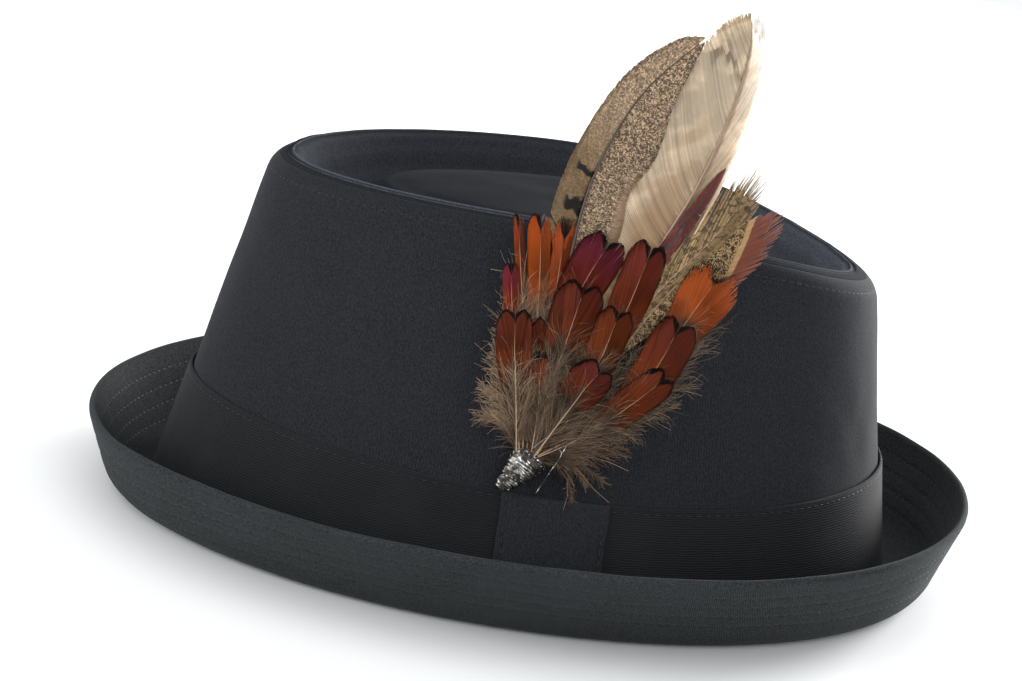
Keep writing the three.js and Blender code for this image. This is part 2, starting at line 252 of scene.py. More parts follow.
def finish_mesh(bm, name, material, merge=1e-4, recalculate=True):
    """Merges doubles, turns faces outwards, scales to metres and makes the object."""
    bmesh.ops.remove_doubles(bm, verts=bm.verts, dist=merge)
    if recalculate:
        bmesh.ops.recalc_face_normals(bm, faces=bm.faces)
    bmesh.ops.scale(bm, vec=(MM, MM, MM), verts=bm.verts)
    for face in bm.faces:
        face.smooth = True
    mesh = bpy.data.meshes.new(name)
    bm.to_mesh(mesh)
    bm.free()
    mesh.materials.append(material)
    piece = bpy.data.objects.new(name, mesh)
    bpy.context.scene.collection.objects.link(piece)
    return piece


def add_wall(piece, thickness):
    """Gives a sheet its thickness, inwards from the side that shows."""
    wall = piece.modifiers.new("cloth thickness", "SOLIDIFY")
    wall.thickness = thickness * MM
    wall.offset = -1
    wall.use_even_offset = True
    wall.use_quality_normals = True


def ribbons(count, segments):
    """Separate ribbons side by side. A point's X is twice the ribbon's number plus its edge, Y its step."""
    bm = bmesh.new()
    bmesh.ops.create_grid(bm, x_segments=2 * count - 1, y_segments=segments, size=0.5)
    bmesh.ops.translate(bm, vec=(0.5, 0.5, 0), verts=bm.verts)
    bmesh.ops.scale(bm, vec=(2 * count - 1, segments, 1), verts=bm.verts)
    between = [face for face in bm.faces if int(face.calc_center_median().x) % 2]
    bmesh.ops.delete(bm, geom=between, context="FACES")
    return bm


def rod(sides, steps):
    """A closed rod of unit radius along Z, from 0 to 1, in even steps."""
    bm = bmesh.new()
    bmesh.ops.create_cone(bm, cap_ends=True, segments=sides, radius1=1, radius2=1, depth=1)
    bmesh.ops.translate(bm, vec=(0, 0, 0.5), verts=bm.verts)
    for step in range(1, steps):
        geom = bm.verts[:] + bm.edges[:] + bm.faces[:]
        bmesh.ops.bisect_plane(bm, geom=geom, plane_co=(0, 0, step / steps), plane_no=(0, 0, 1))
    return bm


def joined(parts):
    """One bmesh out of several."""
    whole = bmesh.new()
    for part in parts:
        mesh = bpy.data.meshes.new("part")
        part.to_mesh(mesh)
        part.free()
        whole.from_mesh(mesh)
        bpy.data.meshes.remove(mesh)
    return whole


# Materials


class Nodes:
    """Builds a material's nodes with few words."""

    def __init__(self, name):
        self.material = bpy.data.materials.new(name)
        self.material.use_nodes = True
        self.tree = self.material.node_tree
        self.shader = self.tree.nodes["Principled BSDF"]

    def put(self, target, value):
        if isinstance(value, bpy.types.NodeSocket):
            self.tree.links.new(value, target)
        elif value is not None:
            target.default_value = value

    def node(self, kind, values=None, **settings):
        made = self.tree.nodes.new(kind)
        for key, value in settings.items():
            setattr(made, key, value)
        for key, value in (values or {}).items():
            self.put(made.inputs[key], value)
        return made

    def math(self, operation, a, b=None):
        made = self.node("ShaderNodeMath", operation=operation)
        self.put(made.inputs[0], a)
        self.put(made.inputs[1], b)
        return made.outputs[0]

    def blend(self, share, a, b, way="MIX"):
        made = self.node("ShaderNodeMix", data_type="RGBA", blend_type=way)
        self.put(made.inputs["Factor"], share)
        self.put(made.inputs[6], a)
        self.put(made.inputs[7], b)
        return made.outputs[2]

    def span(self, value, low, high, to_low=0.0, to_high=1.0):
        made = self.node("ShaderNodeMapRange", interpolation_type="SMOOTHSTEP")
        keys = ("Value", "From Min", "From Max", "To Min", "To Max")
        for key, item in zip(keys, (value, low, high, to_low, to_high)):
            self.put(made.inputs[key], item)
        return made.outputs["Result"]

    def attribute(self, name):
        return self.node("ShaderNodeAttribute", attribute_name=name)

    def uv(self, name, scale=(1.0, 1.0, 1.0), turn=0.0):
        source = self.node("ShaderNodeUVMap", uv_map=name)
        made = self.node("ShaderNodeMapping", {"Scale": scale, "Rotation": (0.0, 0.0, turn)})
        self.put(made.inputs["Vector"], source.outputs[0])
        return made.outputs[0]

    def place(self, scale=(1.0, 1.0, 1.0)):
        source = self.node("ShaderNodeTexCoord")
        made = self.node("ShaderNodeMapping", {"Scale": scale})
        self.put(made.inputs["Vector"], source.outputs["Object"])
        return made.outputs[0]

    def noise(self, vector, scale, detail=2.0, roughness=0.5):
        made = self.node("ShaderNodeTexNoise", {"Scale": scale, "Detail": detail, "Roughness": roughness})
        self.put(made.inputs["Vector"], vector)
        return made.outputs[0]

    def waves(self, vector, scale, distortion, direction="X"):
        values = {"Scale": scale, "Distortion": distortion, "Detail": 1.0}
        made = self.node("ShaderNodeTexWave", values, bands_direction=direction)
        self.put(made.inputs["Vector"], vector)
        return made.outputs["Fac"]

    def bump(self, height, strength, distance, under=None):
        made = self.node("ShaderNodeBump", {"Strength": strength, "Distance": distance})
        self.put(made.inputs["Height"], height)
        self.put(made.inputs["Normal"], under)
        return made.outputs[0]

    def set(self, **values):
        for key, value in values.items():
            self.put(self.shader.inputs[key.replace("_", " ")], value)


def colour(rgb, factor=1.0):
    return (rgb[0] * factor, rgb[1] * factor, rgb[2] * factor, 1.0)


# Wave Texture bands repeat every 0.31416 units at a scale of 1.
WAVE_UNIT = 2 * math.pi / 20


def twill_material(name, dye, pitch, rub, lean=24, ribbed=0.22, nap=0.05, grainy=1.0):
    """Cotton cloth: fine ribs that lean by some degrees, uneven yarn, slight fading where it is rubbed, and
    light and shade painted from a point attribute of the mesh.
    """
    cloth = Nodes(name)
    cloth_uv = cloth.uv("cloth", turn=math.radians(lean))
    ribs = cloth.waves(cloth_uv, WAVE_UNIT / (pitch * MM), 2.5)
    yarn = cloth.noise(cloth.place((1.0, 1.0, 0.7)), 2300.0, 3.0, 0.75)
    patches = cloth.noise(cloth.place(), 28.0, 3.0, 0.55)
    grain = cloth.math("ADD", cloth.math("MULTIPLY", ribs, ribbed), cloth.math("MULTIPLY", yarn, 1.0))
    middle = 0.5 + ribbed / 2
    share = cloth.span(grain, middle - 0.17, middle + 0.2)
    base = cloth.blend(share, colour(dye, 1.15 - 0.95 * grainy), colour(dye, 1.15 + 0.95 * grainy))
    rub_wear_and_painted_light = cloth.math("MULTIPLY", cloth.span(patches, 0.4, 0.75), rub)
    base = cloth.blend(rub_wear_and_painted_light, base, colour(dye, 1.8))
    # Painted light and shade: a point attribute of the mesh makes the cloth lighter or darker here.
    painted_light_factor = cloth.math("MULTIPLY", cloth.attribute("rub_wear_and_painted_light").outputs["Fac"], 3.5)
    base = cloth.blend(1.0, base, cloth.math("ADD", painted_light_factor, 1.0), "MULTIPLY")
    lint = cloth.noise(cloth.place(), 620.0, 1.0, 0.4)
    base = cloth.blend(cloth.span(lint, 0.83, 0.88, 0.0, 0.5), base, colour((0.16, 0.165, 0.175)))
    fine = cloth.bump(grain, 0.8 * grainy, 0.00018)
    broad = cloth.bump(cloth.noise(cloth.place(), 90.0, 2.0, 0.5), 0.25, 0.0006, fine)
    cloth.set(Base_Color=base, Roughness=0.95, Normal=broad)
    cloth.set(Sheen_Weight=nap, Sheen_Roughness=0.3)
    cloth.shader.inputs["Sheen Tint"].default_value = (0.8, 0.88, 0.9, 1.0)
    cloth.shader.inputs["Specular IOR Level"].default_value = 2.4 * nap
    return cloth.material


def rib_material(name, dye, pitch):
    """Ribbed band: fine ribs along its length, slightly wavy, with broken highlights painted on the rib tops and
    shade painted in the grooves.
    """
    cloth = Nodes(name)
    uv = cloth.uv("cloth")
    ribs = cloth.waves(uv, WAVE_UNIT / (pitch * MM), 2.5, "Y")
    breaks = cloth.noise(cloth.uv("cloth", scale=(0.3, 1.0, 1.0)), 1100.0, 2.0, 0.6)
    height = cloth.math("ADD", cloth.math("MULTIPLY", ribs, 0.8), cloth.math("MULTIPLY", breaks, 0.5))
    # Painted highlight on the rib tops and painted shade in the grooves, from the ribs' height.
    base = cloth.blend(cloth.span(height, 0.2, 1.15), colour(dye, 0.6), colour(dye, 1.45))
    patches = cloth.noise(cloth.place(), 40.0, 2.0, 0.5)
    base = cloth.blend(cloth.span(patches, 0.45, 0.8, 0.0, 0.35), base, colour(dye, 1.9))
    normal = cloth.bump(height, 0.55, 0.0002)
    cloth.set(Base_Color=base, Roughness=0.85, Normal=normal, Sheen_Weight=0.04, Sheen_Roughness=0.3)
    cloth.shader.inputs["Specular IOR Level"].default_value = 0.15
    return cloth.material


def thread_material(name, dye):
    """Sewing thread: two plies, slight shine."""
    thread = Nodes(name)
    plies = thread.waves(thread.place(), WAVE_UNIT / (0.35 * MM), 1.0)
    base = thread.blend(plies, colour(dye, 0.6), colour(dye, 1.6))
    thread.set(Base_Color=base, Roughness=0.6, Normal=thread.bump(plies, 0.3, 0.0001))
    return thread.material


# Cloth pieces


def side_length(turn):
    """Millimetres round the crown, near enough for laying the weave."""
    return turn * 88.0


def cloth_uv(along, up):
    return (along * MM, up * MM)


STITCHED_UNDER_RIM = 5.6


def crown_side_surface(turn, share):
    """The crown's side with the small unevenness of sewn cloth. share runs from the foot to the seam."""
    _, _, radius, _, straight, taper = crown_section(turn)
    arc = radius * (math.radians(SEAM_ANGLE) - taper)
    along = share * (straight + arc)
    if along <= straight:
        point = side_point(turn, along / straight)
        facing = taper
    else:
        facing = taper + (along - straight) / radius
        point = shoulder_point(turn, math.degrees(facing))
    to_seam = (1 - share) * (straight + arc)
    outward = crown_section(turn)[3]
    way = outward * math.cos(facing) + Vector((0, 0, math.sin(facing)))
    broad = 0.55 * soft_noise(point, 0.03) + 0.22 * soft_noise(point, 0.085)
    near_foot = smooth(0, 34, along)
    pucker = 0.03 * math.sin(side_length(turn) * FULL_TURN / 3.1) * math.exp(-(((to_seam - 3.0) / 2.6) ** 2))
    groove = -0.06 * math.exp(-(((to_seam - STITCHED_UNDER_RIM + 1.3) / 0.55) ** 2))
    tuck = -0.06 * math.exp(-((to_seam / 0.5) ** 2))
    return point + way * (broad * near_foot * smooth(0, 20, to_seam) + pucker + groove + tuck)


def make_crown_side(cloth):
    rows = 52
    columns = 320

    def share_of(row):
        even = row / (rows - 1)
        return 1 - (1 - even) ** 1.45

    bm = spun_strip(rows, columns)
    shape_strip(
        bm,
        lambda turn, row: crown_side_surface(turn, share_of(row)),
        lambda turn, row: cloth_uv(side_length(turn), share_of(row) * 98),
    )
    piece = finish_mesh(bm, "crown_side_cloth", cloth)
    add_wall(piece, CROWN_CLOTH - 0.3)
    return piece


def tip_point(turn, inset, drop):
    """A point of the tip inside the ridge."""
    point = oval_point(RIM, turn, 0.0, min(inset, 2.9) * CHANNEL_INSET)
    if inset > 2.9:
        inwards = 1 - (inset - 2.9)
        point.x *= inwards
        point.y = RIM["middle"] + (point.y - RIM["middle"]) * inwards
    ends = (RIM_HEIGHT["front"] + RIM_HEIGHT["back"]) / 2
    middle = mix(ends, RIM_HEIGHT["side"], DOME_LEVEL)
    outness = math.hypot(point.x / RIM["width"], (point.y - RIM["middle"]) / RIM["length"])
    level = mix(middle, around(RIM_HEIGHT, turn), outness * outness)
    bulge = DOME_RISE * max(0.0, 1 - outness * outness) * drop
    point.z = level - drop * CHANNEL_DEPTH + bulge
    return point


RIDGE_SHARE = 0.12
RIDGE_RAISE = 0.55


def tip_ridge(share):
    """1 on the raised edge along the top of the ridge, 0 away from it."""
    return math.exp(-(((share - RIDGE_SHARE) / 0.014) ** 2))


def tip_painted_light(turn, share):
    """Painted highlight along the ridge, painted light on the walls of the channel, most at its ends and the
    back, and painted shade in the sunken middle.
    """
    ends = abs(math.cos(turn)) ** 2
    back = max(0.0, -math.cos(turn)) ** 2
    wall = smooth(0.13, 0.2, share) * smooth(0.42, 0.3, share)
    sunken = smooth(0.34, 0.5, share)
    return 1.1 * tip_ridge(share) + wall * (mix(0.16, 0.38, ends) + 0.3 * back) - 0.08 * sunken


def tip_surface(turn, share):
    """The tip with its gathers. share runs from the seam, over the ridge, to the middle of the dome."""
    if share < RIDGE_SHARE:
        radius = crown_section(turn)[2]
        start = SEAM_ANGLE + math.degrees(SEAM_GAP / 4 / radius)
        angle = mix(start, 90.0, share / RIDGE_SHARE)
        point = shoulder_point(turn, angle)
        return point + Vector((0, 0, 1)) * (RIDGE_RAISE * tip_ridge(share) - 0.05 * (share == 0))
    inner = (share - RIDGE_SHARE) / (1 - RIDGE_SHARE)
    inset = table_at(((0, 0.0), (0.42, 1.25), (0.7, 2.6), (1, 3.9)), inner)
    drop = table_at(TIP_SECTION, min(inset, 2.9))
    point = tip_point(turn, inset, drop)
    wall = math.exp(-(((inset - 0.55) / 0.42) ** 2))
    at_ends = abs(math.cos(turn)) ** 3
    gathers = math.sin(turn * 23 + 2.0 * math.sin(turn * 5)) * 0.5 + math.sin(turn * 41 + 1.3) * 0.3
    point.z += 0.9 * wall * at_ends * gathers
    out = Vector((math.sin(turn), -math.cos(turn), 0))
    point += out * (0.8 * wall * at_ends * gathers)
    dome = smooth(1.5, 2.6, inset)
    point.z += dome * (1.1 * soft_noise(point, 0.022) + 0.35 * soft_noise(point, 0.07))
    point.z += RIDGE_RAISE * tip_ridge(share)
    return point


def make_crown_tip(cloth):
    rows = 96
    columns = 320

    def share_of(row):
        """Rows lie closest over the ridge."""
        even = row / (rows - 1)
        return even * 0.6 if even < 0.3 else 0.18 + (even - 0.3) * 0.82 / 0.7

    bm = spun_strip(rows, columns)
    shape_strip(
        bm,
        lambda turn, row: tip_surface(turn, share_of(row)),
        lambda turn, row: oval_point(RIM, turn, 0.0, 78 * share_of(row)).to_2d() * MM,
        # Painted light and shade of the tip, kept in a point attribute.
        lambda turn, row: tip_painted_light(turn, share_of(row)),
    )
    piece = finish_mesh(bm, "crown_tip_cloth", cloth)
    add_wall(piece, CROWN_CLOTH - 0.3)
    return piece


BRIM_ROWS_FROM_LIP = (6.7, 11.4, 16.1, 20.8)


def brim_section(turn):
    """Underside of the brim at one turn: start of the curl, outward way, angle turned, straight run."""
    flat_end = oval_point(FOOT, turn, 0.0, -BRIM_FLAT)
    lip = oval_point(LIP, turn, around(LIP_HEIGHT, turn))
    outwards = lip - flat_end
    outwards.z = 0
    reach = outwards.length
    outwards.normalize()
    rise = lip.z - BRIM_CURL
    straight = math.sqrt(reach * reach + rise * rise - BRIM_CURL * BRIM_CURL)
    turned = math.atan2(rise, reach) + math.atan2(BRIM_CURL, straight)
    return flat_end, outwards, turned, straight


def brim_point(turn, from_lip, off):
    """A point of the brim by its distance from the lip along the underside, and off above the underside."""
    flat_end, outwards, turned, straight = brim_section(turn)
    along = straight + BRIM_CURL * turned - from_lip
    if along < 0:
        return flat_end + outwards * along + Vector((0, 0, off))
    angle = min(along / BRIM_CURL, turned)
    onward = max(0.0, along - BRIM_CURL * turned)
    radial = BRIM_CURL - off
    point = flat_end + outwards * (radial * math.sin(angle) + onward * math.cos(angle))
    point.z = BRIM_CURL - radial * math.cos(angle) + onward * math.sin(angle)
    return point


def brim_depth(turn):
    """How far the head opening is from the lip, along the underside."""
    _, _, turned, straight = brim_section(turn)
    return straight + BRIM_CURL * turned + BRIM_FLAT + CROWN_CLOTH


def brim_groove(from_lip):
    """How far the stitching pulls the cloth in, in shares of its full depth."""
    return sum(math.exp(-(((from_lip - row) / 0.5) ** 2)) for row in BRIM_ROWS_FROM_LIP)


def brim_surface(turn, side, from_lip):
    """side is 0 on the underside and 1 on the upper side."""
    beat = math.sin(turn * 273 + 0.8 * math.sin(turn * 31))
    pull = 0.22 * brim_groove(from_lip) + 0.05 * beat * math.exp(-(((from_lip - 9.0) / 7.0) ** 2))
    thick = BRIM_CLOTH - 0.1
    off = thick - pull if side else pull
    point = brim_point(turn, from_lip, off)
    lifted = smooth(40.0, 12.0, from_lip)
    wave = 0.8 * soft_noise(point, 0.016) + 0.25 * soft_noise(point, 0.06)
    point.z += wave * lifted * 0.9
    return point


def make_brim(cloth):
    per_side = 76
    lip_rows = 5
    columns = 384
    rows = 2 * per_side + lip_rows

    def spot(row):
        """Side, distance share and angle over the lip."""
        if row < per_side:
            return 0, 1 - row / (per_side - 1), None
        if row < per_side + lip_rows:
            return 0, 0.0, math.pi * (row - per_side + 1) / (lip_rows + 1)
        return 1, (row - per_side - lip_rows) / (per_side - 1), None

    def place(turn, row):
        side, share, over = spot(row)
        round_over = 1.1
        from_lip = round_over + share * (brim_depth(turn) - round_over)
        if over is None:
            return brim_surface(turn, side, from_lip)
        low = brim_surface(turn, 0, round_over)
        high = brim_surface(turn, 1, round_over)
        middle = (low + high) / 2
        onward = (low - brim_surface(turn, 0, round_over + 0.5)).normalized()
        return middle + (low - middle) * math.cos(over) + onward * round_over * math.sin(over)

    def lay_out(turn, row):
        side, share, over = spot(row)
        return cloth_uv(turn * 108, (100 if side else 0) + share * 42 + (over or 0.0))

    def painted_light_at(turn, row):
        """Painted shade on the upper side at the front, and painted light on it at the back."""
        side, share, _ = spot(row)
        ahead = math.cos(turn)
        return side * smooth(0.05, 0.3, share) * (0.13 * clamp(-ahead) - 0.12 * clamp(ahead))

    bm = spun_strip(rows, columns, closed=True)
    shape_strip(bm, place, lay_out, painted_light_at)
    return finish_mesh(bm, "brim_cloth", cloth)


def make_stitches(name, spots, material, thick=0.34):
    """Short raised threads, each laid along the line between two points of the cloth."""
    template = rod(5, 3)
    mesh = bpy.data.meshes.new("stitch")
    template.to_mesh(mesh)
    template.free()
    bm = bmesh.new()
    for start, end, up in spots:
        first = len(bm.verts)
        bm.from_mesh(mesh)
        bm.verts.ensure_lookup_table()
        along = end - start
        across = along.normalized().cross(up)
        for vert in bm.verts[first:]:
            t = vert.co.z
            arch = math.sin(math.pi * t)
            round_off = 0.35 + 0.65 * arch**0.5 if 0 < t < 1 else 0.35
            offset = across * (vert.co.x * thick / 2 * round_off) + up * (vert.co.y * thick / 2 * round_off)
            vert.co = start + along * t + offset + up * (0.12 * arch - 0.1)
    bpy.data.meshes.remove(mesh)
    return finish_mesh(bm, name, material, merge=1e-6)


def stitch_run(point_at, up_at, count, fill=0.78):
    """Stitch ends along a closed line of count steps round the head."""
    spots = []
    for k in range(count):
        a = FULL_TURN * k / count
        b = FULL_TURN * (k + fill) / count
        spots.append((point_at(a), point_at(b), up_at(a)))
    return spots


def brim_stitching(material, pitch):
    spots = []
    for row in BRIM_ROWS_FROM_LIP:
        around_row = FULL_TURN * (118 - 0.55 * row)
        count = round(around_row / pitch)
        for side in (0, 1):

            def point_at(turn, side=side, row=row):
                return brim_surface(turn, side, row)

            def up_at(turn, side=side, row=row):
                across = brim_surface(turn, side, row + 0.8) - brim_surface(turn, side, row - 0.8)
                along = brim_surface(turn + 0.004, side, row) - brim_surface(turn - 0.004, side, row)
                up = across.cross(along).normalized()
                return up if (up.z > 0) == bool(side) else -up

            spots += stitch_run(point_at, up_at, count)
    return make_stitches("brim_stitching", spots, material)


def crown_stitching(material, pitch):
    def share_at(turn, below):
        _, _, radius, _, straight, taper = crown_section(turn)
        whole = straight + radius * (math.radians(SEAM_ANGLE) - taper)
        return 1 - below / whole

    below = STITCHED_UNDER_RIM - 1.3

    def point_at(turn):
        return crown_side_surface(turn, share_at(turn, below))

    def up_at(turn):
        rise = crown_side_surface(turn, share_at(turn, below - 0.8)) - crown_side_surface(
            turn, share_at(turn, below + 0.8)
        )
        along = crown_side_surface(turn + 0.005, share_at(turn, below)) - point_at(turn)
        up = along.cross(rise).normalized()
        return up if up.dot(Vector((math.sin(turn), -math.cos(turn), 0))) > 0 else -up

    spots = stitch_run(point_at, up_at, round(FULL_TURN * 76 / pitch))
    return make_stitches("crown_stitching", spots, material, thick=0.2)


def band_height(turn, share):
    bottom = BRIM_CLOTH + SEAM_GAP
    return mix(bottom, around(BAND_TOP, turn), share)


def band_wave(turn, share):
    point = Vector((math.sin(turn), math.cos(turn), share * 0.4))
    return (0.25 * soft_noise(point, 2.2) + 0.12 * soft_noise(point, 7.0)) * math.sin(math.pi * share) ** 0.5


def make_hatband(cloth):
    per_side = 22
    edge_rows = 3
    columns = 288
    rows = 2 * per_side + edge_rows

    def place(turn, row):
        inner = SEAM_GAP
        outer = SEAM_GAP + BAND_CLOTH
        if row < per_side:
            share = row / (per_side - 1)
            fold = 0.14 * math.exp(-(((1 - share) * 33 - 2.0) / 0.5) ** 2)
            off = outer - 0.12 + band_wave(turn, share) * 0.6 - fold
            return side_point_at(turn, band_height(turn, share) - (0.4 if row == per_side - 1 else 0), off)
        if row < per_side + edge_rows:
            over = math.pi * (row - per_side + 1) / (edge_rows + 1)
            off = (inner + outer) / 2 + BAND_CLOTH * 0.42 * math.cos(over)
            return side_point_at(turn, band_height(turn, 1) - 0.4 + 0.4 * math.sin(over), off)
        share = 1 - (row - per_side - edge_rows) / (per_side - 1)
        return side_point_at(turn, band_height(turn, share) - (0.4 if share == 1 else 0), inner)

    def lay_out(turn, row):
        return cloth_uv(turn * 95, 1.55 * row)

    bm = spun_strip(rows, columns, closed=True)
    shape_strip(bm, place, lay_out)
    return finish_mesh(bm, "hatband_ribbon", cloth)


def band_stitching(material, pitch):
    def point_at(turn):
        return side_point_at(turn, band_height(turn, 1) - 1.5, SEAM_GAP + BAND_CLOTH - 0.15)

    def up_at(turn):
        outward = crown_section(turn)[3]
        taper = crown_section(turn)[5]
        return (outward * math.cos(taper) + Vector((0, 0, math.sin(taper)))).normalized()

    spots = stitch_run(point_at, up_at, round(FULL_TURN * 94 / pitch), 0.6)
    return make_stitches("hatband_stitching", spots, material, thick=0.26)


def tab_point(across, share, off):
    """A point of the tab: across towards the back from its middle, share of its height, off the crown."""
    towards_back = TAB_MIDDLE + across
    turn = SIDE_TURN + math.asin(towards_back / FOOT["length"])
    point = side_point_at(turn, band_height(turn, share), off)
    point.y = towards_back
    return point


def make_tab(cloth):
    bm = bmesh.new()
    bmesh.ops.create_cube(bm, size=1)
    for axis, count in ((1, 40), (2, 44)):
        for step in range(1, count):
            normal = Vector((0, 0, 0))
            normal[axis] = 1
            spot = Vector((0, 0, 0))
            spot[axis] = step / count - 0.5
            geom = bm.verts[:] + bm.edges[:] + bm.faces[:]
            bmesh.ops.bisect_plane(bm, geom=geom, plane_co=spot, plane_no=normal)
    layer = bm.loops.layers.uv.new("cloth")
    for face in bm.faces:
        for loop in face.loops:
            co = loop.vert.co
            loop[layer].uv = cloth_uv(co.y * TAB_WIDTH, co.z * 32 + co.x * 4)
    inner = 2 * SEAM_GAP + BAND_CLOTH
    for vert in bm.verts:
        co = vert.co
        across = co.y * TAB_WIDTH
        share = co.z + 0.5
        edge = abs(abs(across) - (TAB_WIDTH / 2 - 1.3))
        seam = 0.3 * math.exp(-((edge / 0.5) ** 2))
        rounded = 0.35 * smooth(TAB_WIDTH / 2 - 0.7, TAB_WIDTH / 2, abs(across))
        bulge = 0.3 * math.sin(math.pi * share) * math.cos(math.pi * co.y)
        crease = 0.25 * soft_noise(Vector((across, share * 30, 3.0)), 0.09)
        off = inner if co.x < 0 else inner + BAND_CLOTH - seam - rounded + bulge + crease
        wobble = 0.35 * soft_noise(Vector((share * 20, across * 0.1, 8.0)), 0.2) * smooth(0.3, 0.5, abs(co.y))
        vert.co = tab_point(across + wobble, share, off)
    return finish_mesh(bm, "band_tab_cloth", cloth)


def tab_stitching(material, pitch):
    spots = []
    count = round(31 / pitch)
    for side in (-1, 1):
        across = side * (TAB_WIDTH / 2 - 1.3)
        for k in range(count):
            low = (k + 0.15) / count
            high = (k + 0.85) / count
            off = 2 * SEAM_GAP + 2 * BAND_CLOTH - 0.12 + 0.3 * math.sin(math.pi * low) * 0.1
            start = tab_point(across, low, off)
            end = tab_point(across, high, off)
            spots.append((start, end, Vector((0.96, 0, 0.27))))
    return make_stitches("band_tab_stitching", spots, material, thick=0.3)


# Plume


def plume_frame():
    turn = SIDE_TURN + math.asin(HEAD_ACROSS / FOOT["length"])
    taper = crown_section(turn)[5]
    up = Vector((-math.sin(taper), 0, math.cos(taper)))
    out = Vector((math.cos(taper), 0, math.sin(taper)))
    across = Vector((0, 1, 0))
    head = side_point_at(turn, BAND_TOP["side"] + HEAD_UP)
    head.y = HEAD_ACROSS
    return head, across, up, out


PLUME = plume_frame()


def plume_point(across, up, out):
    head, way_across, way_up, way_out = PLUME
    return head + way_across * across + way_up * up + way_out * out


# Outlines of a half vane, from the quill end round to the tip: shares along the spine and of the half width.
TALL_LEFT = ((0.12, 0.0), (0.2, 0.35), (0.35, 0.75), (0.55, 1.0), (0.75, 0.98), (0.9, 0.66), (1.0, 0.02))
TALL_RIGHT = ((0.1, 0.0), (0.16, 0.4), (0.3, 0.9), (0.5, 1.0), (0.7, 0.8), (0.88, 0.42), (1.0, 0.02))
LOBE = (
    ((0.42, 0.25), (0.56, 0.72), (0.7, 0.97), (0.84, 0.98), (0.95, 0.84))
    + ((1.02, 0.67), (1.045, 0.5), (1.03, 0.3), (0.985, 0.04))
)
ROUND_TIP = ((0.44, 0.15), (0.56, 0.7), (0.72, 0.98), (0.86, 0.95), (0.97, 0.7), (1.04, 0.42), (0.97, 0.02))
FAN = (
    ((0.42, 0.2), (0.6, 0.7), (0.8, 1.0), (0.95, 1.02))
    + ((1.03, 0.78), (1.06, 0.45), (1.03, 0.2), (0.98, 0.03))
)
FRINGED = ((0.36, 0.1), (0.5, 0.62), (0.68, 1.0), (0.86, 1.1), (1.0, 0.92), (1.07, 0.5), (1.06, 0.01))


# How far along the highest point of a tip lies; blunt tips are drawn together below it.
TIP_TOP = 1.045


# What a feather has unless it says otherwise: distance between barbs, tint, how light, how frayed,
# how often and how far the vane splits, how hollow it is, where the barbs start and end, the shaft's
# radius, how far its lower part shows, and where it ends.
USUAL_FEATHER = {
    "pitch": 0.5,
    "tint": 0.5,
    "light": 0.5,
    "rough": 0.3,
    "splits": 0.05,
    "split_size": 0.02,
    "cup": 0.9,
    "roots": (0.2, 0.87),
    "quill": 0.2,
    "shown": 0.0,
    "shaft_end": 0.97,
}
BARB_BEND = 0.3


class Feather:
    """One feather: its spine across and up from the stem's head, its two half vanes and its colours."""

    def __init__(self, spine, left, right, out, outline, **more):
        self.spine = spine
        self.widths = (left, right)
        self.out = out
        self.outline = outline
        for key, usual in USUAL_FEATHER.items():
            setattr(self, key, more.get(key, usual))
        spots = [Vector(curve_through(self.spine, k / 24)) for k in range(25)]
        self.length = sum((q - p).length for p, q in zip(spots, spots[1:]))

    def frame_at(self, share):
        step = 0.01
        inside = clamp(share, 0.0, 1.0)
        a = curve_through(self.spine, inside - step if inside > step else 0.0)
        b = curve_through(self.spine, inside + step if inside < 1 - step else 1.0)
        way = Vector((b[0] - a[0], b[1] - a[1])).normalized()
        here = Vector(curve_through(self.spine, inside))
        here += way * (share - inside) * self.length
        return here, way

    def point(self, share, aside, lift=0.0):
        here, way = self.frame_at(share)
        here = here + Vector((way.y, -way.x)) * aside
        half = max(self.widths)
        low, high = self.out
        out = mix(low, high, clamp(share) ** 1.2) + (share - 1) * 0.5 * max(0.0, share - 1)
        out += self.cup * (1 - (aside / half) ** 2)
        return plume_point(here.x, here.y, out + lift)


def barb_layers(bm):
    """Where each point keeps its distance from the barb's tip, the barb's tone and the feather's tint."""
    return [bm.verts.layers.float.new(name) for name in ("to_edge", "tone", "tint")]


